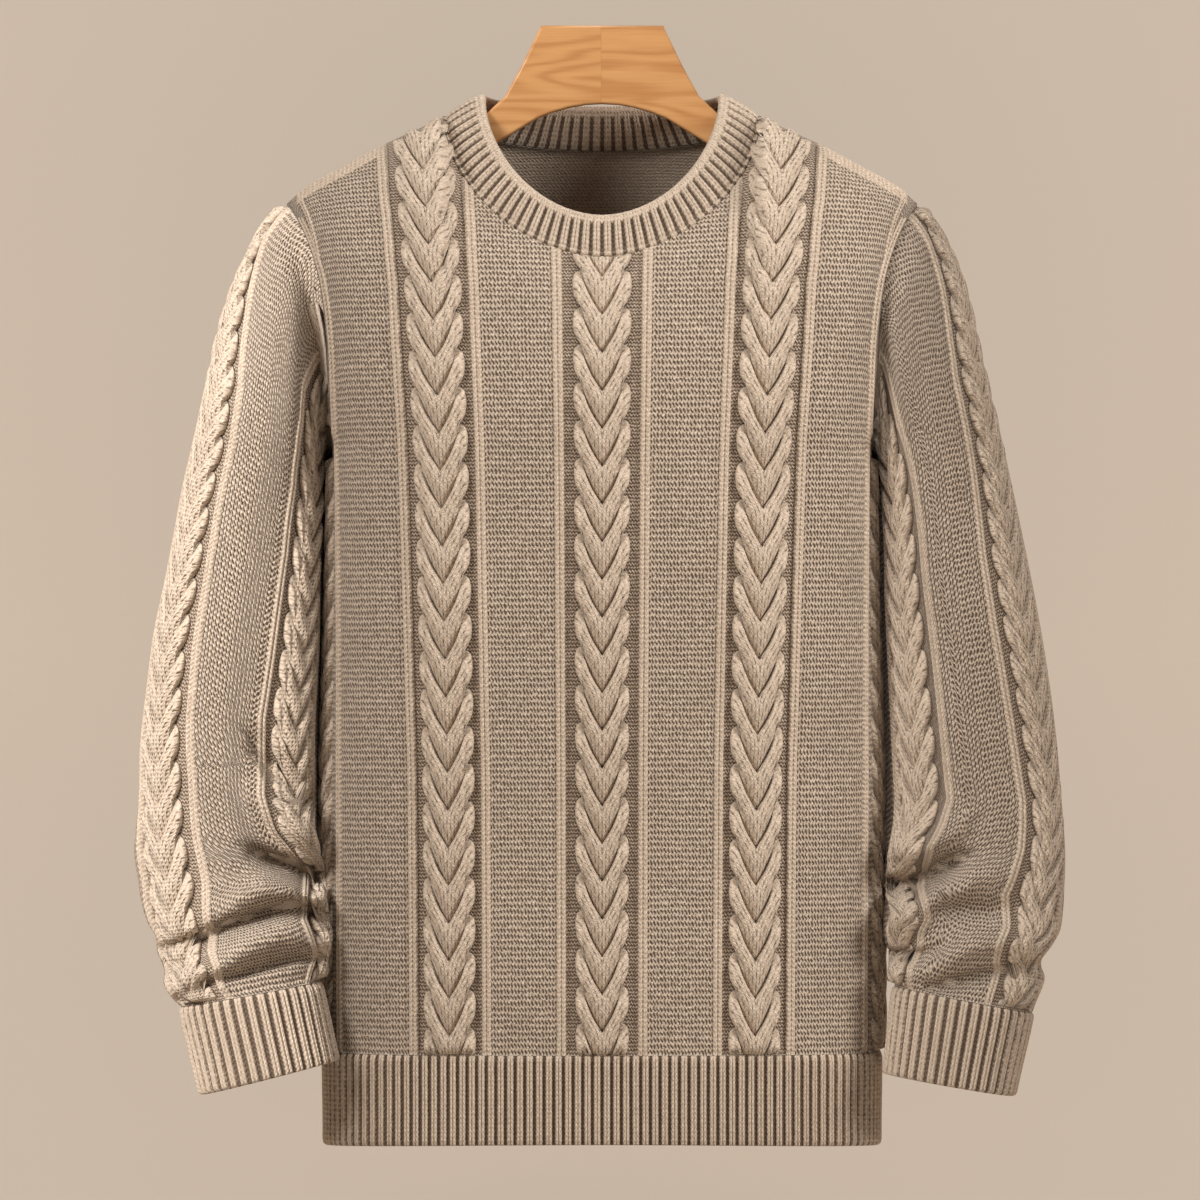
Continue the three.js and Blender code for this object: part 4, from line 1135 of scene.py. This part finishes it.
def hem(name, cut):
    place, stitch, wave = rib_columns(HEM_RIBS, False)
    s = (place / HEM_RIBS * 2 - 1) * SIDE_SEAM
    lift = HEM_LIFT * (1 - (s / SIDE_SEAM) ** 2)
    bottom = HEM_BOTTOM_Z + lift
    top = PANEL_BOTTOM_Z + 0.3
    profile = [
        (0.0, -0.8, 0.0), (0.02, -0.3, 0.6), (0.07, -0.3, 1), (0.2, -0.3, 1), (0.4, -0.4, 1), (0.6, -0.5, 1),
        (0.8, -0.5, 1), (0.94, -0.4, 1), (0.98, -0.5, 0.8), (1.0, -1.1, 0.4), (1.0, -1.8, 0.2),
        (0.97, -2.6, 0), (0.8, -2.7, 0), (0.5, -2.7, 0), (0.2, -2.7, 0), (0.0, -2.7, 0),
    ]
    edge = 1 - smooth(SIDE_SEAM - 1.5, SIDE_SEAM, np.abs(s))
    rows = []
    for part, out, ridge in profile:
        point, normal = torso_surface(s, mix(top, bottom, part), cut)
        normal[:, 2] = 0
        relief = out + ridge * RIB_HEIGHT * wave * edge
        rows.append(point + unit(normal) * relief[:, None])
    skin = Skin()
    ring = closed(skin.add(np.array(rows)), 0)
    down = np.array([part * HEM_LENGTH for part, _, _ in profile])
    down = np.append(down, down[0])
    cloth = np.stack(np.broadcast_arrays(stitch[None, :], down[:, None]), axis=-1)
    skin.grid(ring, cloth, 0, cut["side"] < 0)
    return skin.mesh(name, [WELT_KNIT])


def neck_loop():
    """The panels' neck edge as points by their turn from the front middle."""
    turns, points = [], []
    corner = np.interp(NECK_HALF, across_at(TOP_S[600:], NECK_SIDE_Z), TOP_S[600:])
    s = np.linspace(-corner, corner, 401)
    for cut in (FRONT, BACK):
        point, _ = torso_surface(s, column_top(s, cut), cut)
        ratio = np.clip(point[:, 0] / NECK_HALF, -1, 1)
        turn = np.arcsin(np.sign(ratio) * np.abs(ratio) ** (NECK_POWER / 2))
        turns.append(turn if cut is FRONT else math.pi - turn)
        points.append(point)
    turns, points = np.concatenate(turns), np.concatenate(points)
    order = np.argsort(turns % (2 * math.pi))
    return turns[order] % (2 * math.pi), points[order]


class BandPlace:
    flip = False

    def __init__(self):
        self.turns, self.points = neck_loop()
        turn = np.linspace(0, 2 * math.pi, 1441)
        self.lengths = run_along(self.foot(turn))
        self.even = turn

    def foot(self, turn):
        wrapped = np.asarray(turn) % (2 * math.pi)
        columns = [np.interp(wrapped, self.turns, self.points[:, i], period=2 * math.pi) for i in range(3)]
        return np.stack(columns, axis=-1)

    def head(self, turn):
        front = np.cos(turn) >= 0
        y = np.where(front, *(BAND_TOP[k][0] for k in ("front", "back")))
        z = np.where(front, *(BAND_TOP[k][1] for k in ("front", "back")))
        cos, sin = np.cos(turn), np.sin(turn)
        x = BAND_HALF * np.sign(sin) * np.abs(sin) ** 1.05
        return np.stack([x, -cos * y, mix(BAND_SIDE_Z, z, np.abs(cos) ** (2 / NECK_POWER))], axis=-1)

    def __call__(self, share, part, out):
        turn = np.interp(share * self.lengths[-1], self.lengths, self.even)
        foot, head = self.foot(turn), self.head(turn)
        along = self.foot(turn + 0.03) - self.foot(turn - 0.03)
        normal = unit(np.cross(along, head - foot))
        return mix(foot, head, part) + normal * np.broadcast_to(out, turn.shape)[:, None]


BAND_PROFILE = [
    (-0.04, -0.6, 0), (-0.03, 1.0, 0), (0.0, 1.8, 0), (0.035, 1.5, 0), (0.055, 0.2, 0), (0.09, -0.1, 0.7),
    (0.14, 0.1, 1), (0.25, 0.5, 1), (0.38, 0.6, 1), (0.5, 0.5, 1), (0.63, 0.3, 1), (0.72, 0.3, 0.95),
    (0.78, 0.5, 0.6), (0.84, 1.1, 0.25), (0.9, 1.1, 0.12), (0.95, 0.6, 0.1), (0.985, -0.4, 0.1),
    (1.0, -1.6, 0.1), (0.99, -2.8, 0.1), (0.94, -3.9, 0.1), (0.8, -4.2, -0.2), (0.6, -4.2, -0.2),
    (0.4, -4.2, -0.2), (0.2, -4.2, -0.2), (0.05, -4.0, 0),
]


# --- wood
def wood():
    material, tree, shader = new_tree("hanger_wood")
    place = tree.nodes.new("ShaderNodeTexCoord").outputs["Object"]
    split = tree.nodes.new("ShaderNodeSeparateXYZ")
    tree.links.new(place, split.inputs[0])
    x, y, z = (Value(tree, split.outputs[i]) for i in range(3))
    half = x.reckon("GREATER_THAN", -0.0006)
    join = tree.nodes.new("ShaderNodeCombineXYZ")
    tree.links.new((x * 5 + half * 3.1).socket, join.inputs[0])
    tree.links.new((y * 20).socket, join.inputs[1])
    tree.links.new((z * 34 + half * 0.21).socket, join.inputs[2])
    flow = noise(tree, join.outputs[0], 1.0, 2.0, 0.45)
    rings = (flow * 9 + z * 40).wave() ** 1.6
    stretch = tree.nodes.new("ShaderNodeVectorMath")
    stretch.operation = "MULTIPLY"
    stretch.inputs[1].default_value = (30, 400, 900)
    tree.links.new(place, stretch.inputs[0])
    pores = noise(tree, stretch.outputs[0], 1.0, 3.0, 0.6)
    grain = (rings * 0.55 + pores * 0.75 - 0.2).clamp()
    colour = blend_colours(tree, grain, (0.72, 0.375, 0.145), (0.51, 0.215, 0.066))
    seam = ((x + 0.0006).reckon("ABSOLUTE") * -2500 + 1).clamp() * 0.25
    colour = blend_colours(tree, seam, colour, (0.28, 0.11, 0.03))
    tree.links.new(colour, shader.inputs["Base Color"])
    add_bump(tree, shader, pores, 0.35, 0.0002)
    set_numbers(shader, Roughness=0.38, Coat_Weight=0.25, Coat_Roughness=0.3)
    return material


def hanger_board():
    right = list(HANGER_ROWS)
    left = [(-x, z) for x, z in reversed(right)]
    outline = [*right, (0, HANGER_MIDDLE_Z), *left]
    curve = bpy.data.curves.new("hanger_outline", "CURVE")
    curve.dimensions = "2D"
    curve.fill_mode = "BOTH"
    curve.extrude = (HANGER_THICK / 2 - HANGER_BEVEL) * MM
    curve.bevel_depth = HANGER_BEVEL * MM
    curve.bevel_resolution = 4
    curve.offset = -HANGER_BEVEL * MM
    spline = curve.splines.new("POLY")
    spline.points.add(len(outline) - 1)
    for point, (x, z) in zip(spline.points, outline):
        point.co = (x * MM, z * MM, 0, 1)
    spline.use_cyclic_u = True
    holder = bpy.data.objects.new("hanger_outline", curve)
    bpy.context.scene.collection.objects.link(holder)
    graph = bpy.context.evaluated_depsgraph_get()
    mesh = bpy.data.meshes.new_from_object(holder.evaluated_get(graph))
    bpy.data.objects.remove(holder)
    co = np.zeros(len(mesh.vertices) * 3, np.float32)
    mesh.vertices.foreach_get("co", co)
    x, z, y = co.reshape(-1, 3).T
    mesh.vertices.foreach_set("co", np.stack([x, -y, z], axis=1).ravel())
    mesh.update()
    mesh.materials.clear()
    mesh.materials.append(wood())
    mesh.name = "hanger_board"
    board = bpy.data.objects.new("hanger_board", mesh)
    bpy.context.scene.collection.objects.link(board)
    return board


# --- make the pieces
BACK_STRIPS = FRONT_STRIPS[:-2] + [(199.6, 238, "garter", 17)]
SEAM_STRIP = (238, SIDE_SEAM, "garter", 1)

pieces = {
    "front_knit": panel("front_knit", FRONT, FRONT_STRIPS + [SEAM_STRIP]),
    "back_knit": panel("back_knit", BACK, BACK_STRIPS + [SEAM_STRIP]),
    "front_cables": torso_cables("front_cables", FRONT),
    "back_cables": torso_cables("back_cables", BACK),
    "hem_front_rib": hem("hem_front_rib", FRONT),
    "hem_back_rib": hem("hem_back_rib", BACK),
    "neckband_rib": ring_tube("neckband_rib", BandPlace(), BAND_RIBS, BAND_PROFILE, BAND_LENGTH, BAND_KNIT),
}
for side, rows, folds, creases, rolls, drift, bottom in (
    ("right", RIGHT_SLEEVE, RIGHT_FOLDS, RIGHT_CREASES, RIGHT_ROLLS, RIGHT_DRIFT, RIGHT_CUFF),
    ("left", LEFT_SLEEVE, LEFT_FOLDS, LEFT_CREASES, LEFT_ROLLS, LEFT_DRIFT, LEFT_CUFF),
):
    sleeve = Sleeve(rows, folds, creases, rolls, drift)
    pieces[f"sleeve_{side}_knit"] = sleeve_shell(f"sleeve_{side}_knit", sleeve)
    pieces[f"sleeve_{side}_cables"] = sleeve_cables(f"sleeve_{side}_cables", sleeve)
    place = CuffPlace(rows[-1], bottom)
    cuff = ring_tube(f"cuff_{side}_rib", place, CUFF_RIBS, CUFF_PROFILE, CUFF_LENGTH, WELT_KNIT)
    pieces[f"cuff_{side}_rib"] = cuff
pieces["hanger_board"] = hanger_board()

for piece in pieces.values():
    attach(piece, "root")

STANDS_FOR = {
    "front_knit": "front_panel", "back_knit": "back_panel", "sleeve_right_knit": "sleeve_right",
    "sleeve_left_knit": "sleeve_left", "neckband_rib": "neckband", "hem_front_rib": "hem_front",
    "hem_back_rib": "hem_back", "cuff_right_rib": "cuff_right", "cuff_left_rib": "cuff_left",
    "hanger_board": "hanger",
}
for name, node in STANDS_FOR.items():
    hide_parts(node)


# --- studio
def plain_material(name, colour, glow, strength):
    material, tree, shader = new_tree(name)
    place = tree.nodes.new("ShaderNodeTexCoord").outputs["Object"]
    grain = noise(tree, place, 3.0, 2.0)
    dark = tuple(c * 0.985 for c in colour)
    tree.links.new(blend_colours(tree, grain, dark, colour), shader.inputs["Base Color"])
    set_numbers(shader, Roughness=1.0, Specular_IOR_Level=0.0, Emission_Color=(*glow, 1),
                Emission_Strength=strength)
    return material, tree, shader


def studio():
    half, low, back, curve = 4.0, -0.92, 0.30, 0.5
    turns = np.linspace(0, math.pi / 2, 13)
    floor = [(-6.0, low), *((back - curve + curve * math.sin(t), low + curve - curve * math.cos(t)) for t in turns)]
    profile = [*floor, (back, 3.0)]
    points = np.array([[(x, y, z) for x in (-half, half)] for y, z in profile]) / MM
    skin = Skin()
    ids = skin.add(points)
    cloth = points[..., :2] * MM
    skin.grid(ids, cloth, 0, False)
    colour, glow = (0.66, 0.535, 0.43), (0.553, 0.492, 0.415)
    material, tree, shader = plain_material("studio_paper", colour, glow, 0.72)
    see = tree.nodes.new("ShaderNodeMixShader")
    facing = tree.nodes.new("ShaderNodeNewGeometry").outputs["Backfacing"]
    clear = tree.nodes.new("ShaderNodeBsdfTransparent")
    tree.links.new(facing, see.inputs[0])
    tree.links.new(shader.outputs[0], see.inputs[1])
    tree.links.new(clear.outputs[0], see.inputs[2])
    tree.links.new(see.outputs[0], tree.nodes["Material Output"].inputs["Surface"])
    backdrop = skin.mesh("studio_backdrop", [material])
    world = bpy.data.worlds.new("studio")
    world.use_nodes = True
    world.node_tree.nodes["Background"].inputs[0].default_value = (0.64, 0.57, 0.50, 1)
    world.node_tree.nodes["Background"].inputs[1].default_value = 0.31
    bpy.context.scene.world = world
    bpy.context.scene.view_settings.view_transform = "Standard"


def soft_light(name, place, target, size, power, colour, only):
    data = bpy.data.lights.new(name, "AREA")
    data.shape = "DISK"
    data.size = size
    data.energy = power
    data.color = colour
    lamp = bpy.data.objects.new(name, data)
    bpy.context.scene.collection.objects.link(lamp)
    lamp.location = place
    lamp.rotation_euler = (Vector(target) - Vector(place)).to_track_quat("-Z", "Y").to_euler()
    lamp.visible_camera = False
    lit = bpy.data.collections.new(f"{name}_lit")
    for piece in only:
        lit.objects.link(pieces[piece])
    lamp.light_linking.receiver_collection = lit


studio()
ALL_PIECES = tuple(pieces)
TORSO_PIECES = ("front_knit", "front_cables", "hem_front_rib", "neckband_rib", "back_knit", "hem_back_rib")
OUTER_PIECES = ("sleeve_right_knit", "sleeve_right_cables", "cuff_right_rib")
INNER_PIECES = ("sleeve_left_knit", "sleeve_left_cables", "cuff_left_rib")
WARM = (1.0, 0.985, 0.965)
soft_light("key", (-1.9, -1.7, 0.75), (0, 0, -0.38), 0.9, 49, WARM, ALL_PIECES)
soft_light("side", (1.9, -1.5, 0.3), (0, 0, -0.4), 1.0, 9, WARM, ALL_PIECES)
soft_light("top", (0.0, -0.9, 1.7), (0, 0, -0.2), 1.2, 18, WARM, ALL_PIECES)
soft_light("torso", (1.9, -1.3, 0.4), (0.1, 0, -0.4), 0.9, 44, WARM, TORSO_PIECES)
soft_light("far_sleeve", (0.2, -2.2, 0.3), (0.25, 0, -0.45), 0.7, 13, WARM, INNER_PIECES)
soft_light("sleeve", (-1.5, -1.7, 0.6), (-0.25, 0, -0.4), 0.8, 56, WARM, OUTER_PIECES)

CAMERA_AWAY = 7.0
VIEW_WIDTH = 0.816
camera_data = bpy.data.cameras.new("camera")
camera_data.sensor_width = 36
camera_data.lens = 36 * CAMERA_AWAY / VIEW_WIDTH
camera = bpy.data.objects.new("camera", camera_data)
bpy.context.scene.collection.objects.link(camera)
camera.location = (-0.0014, -CAMERA_AWAY, -0.3903)
camera.rotation_euler = (math.pi / 2, 0, 0)
camera_data.clip_end = 100
bpy.context.scene.camera = camera
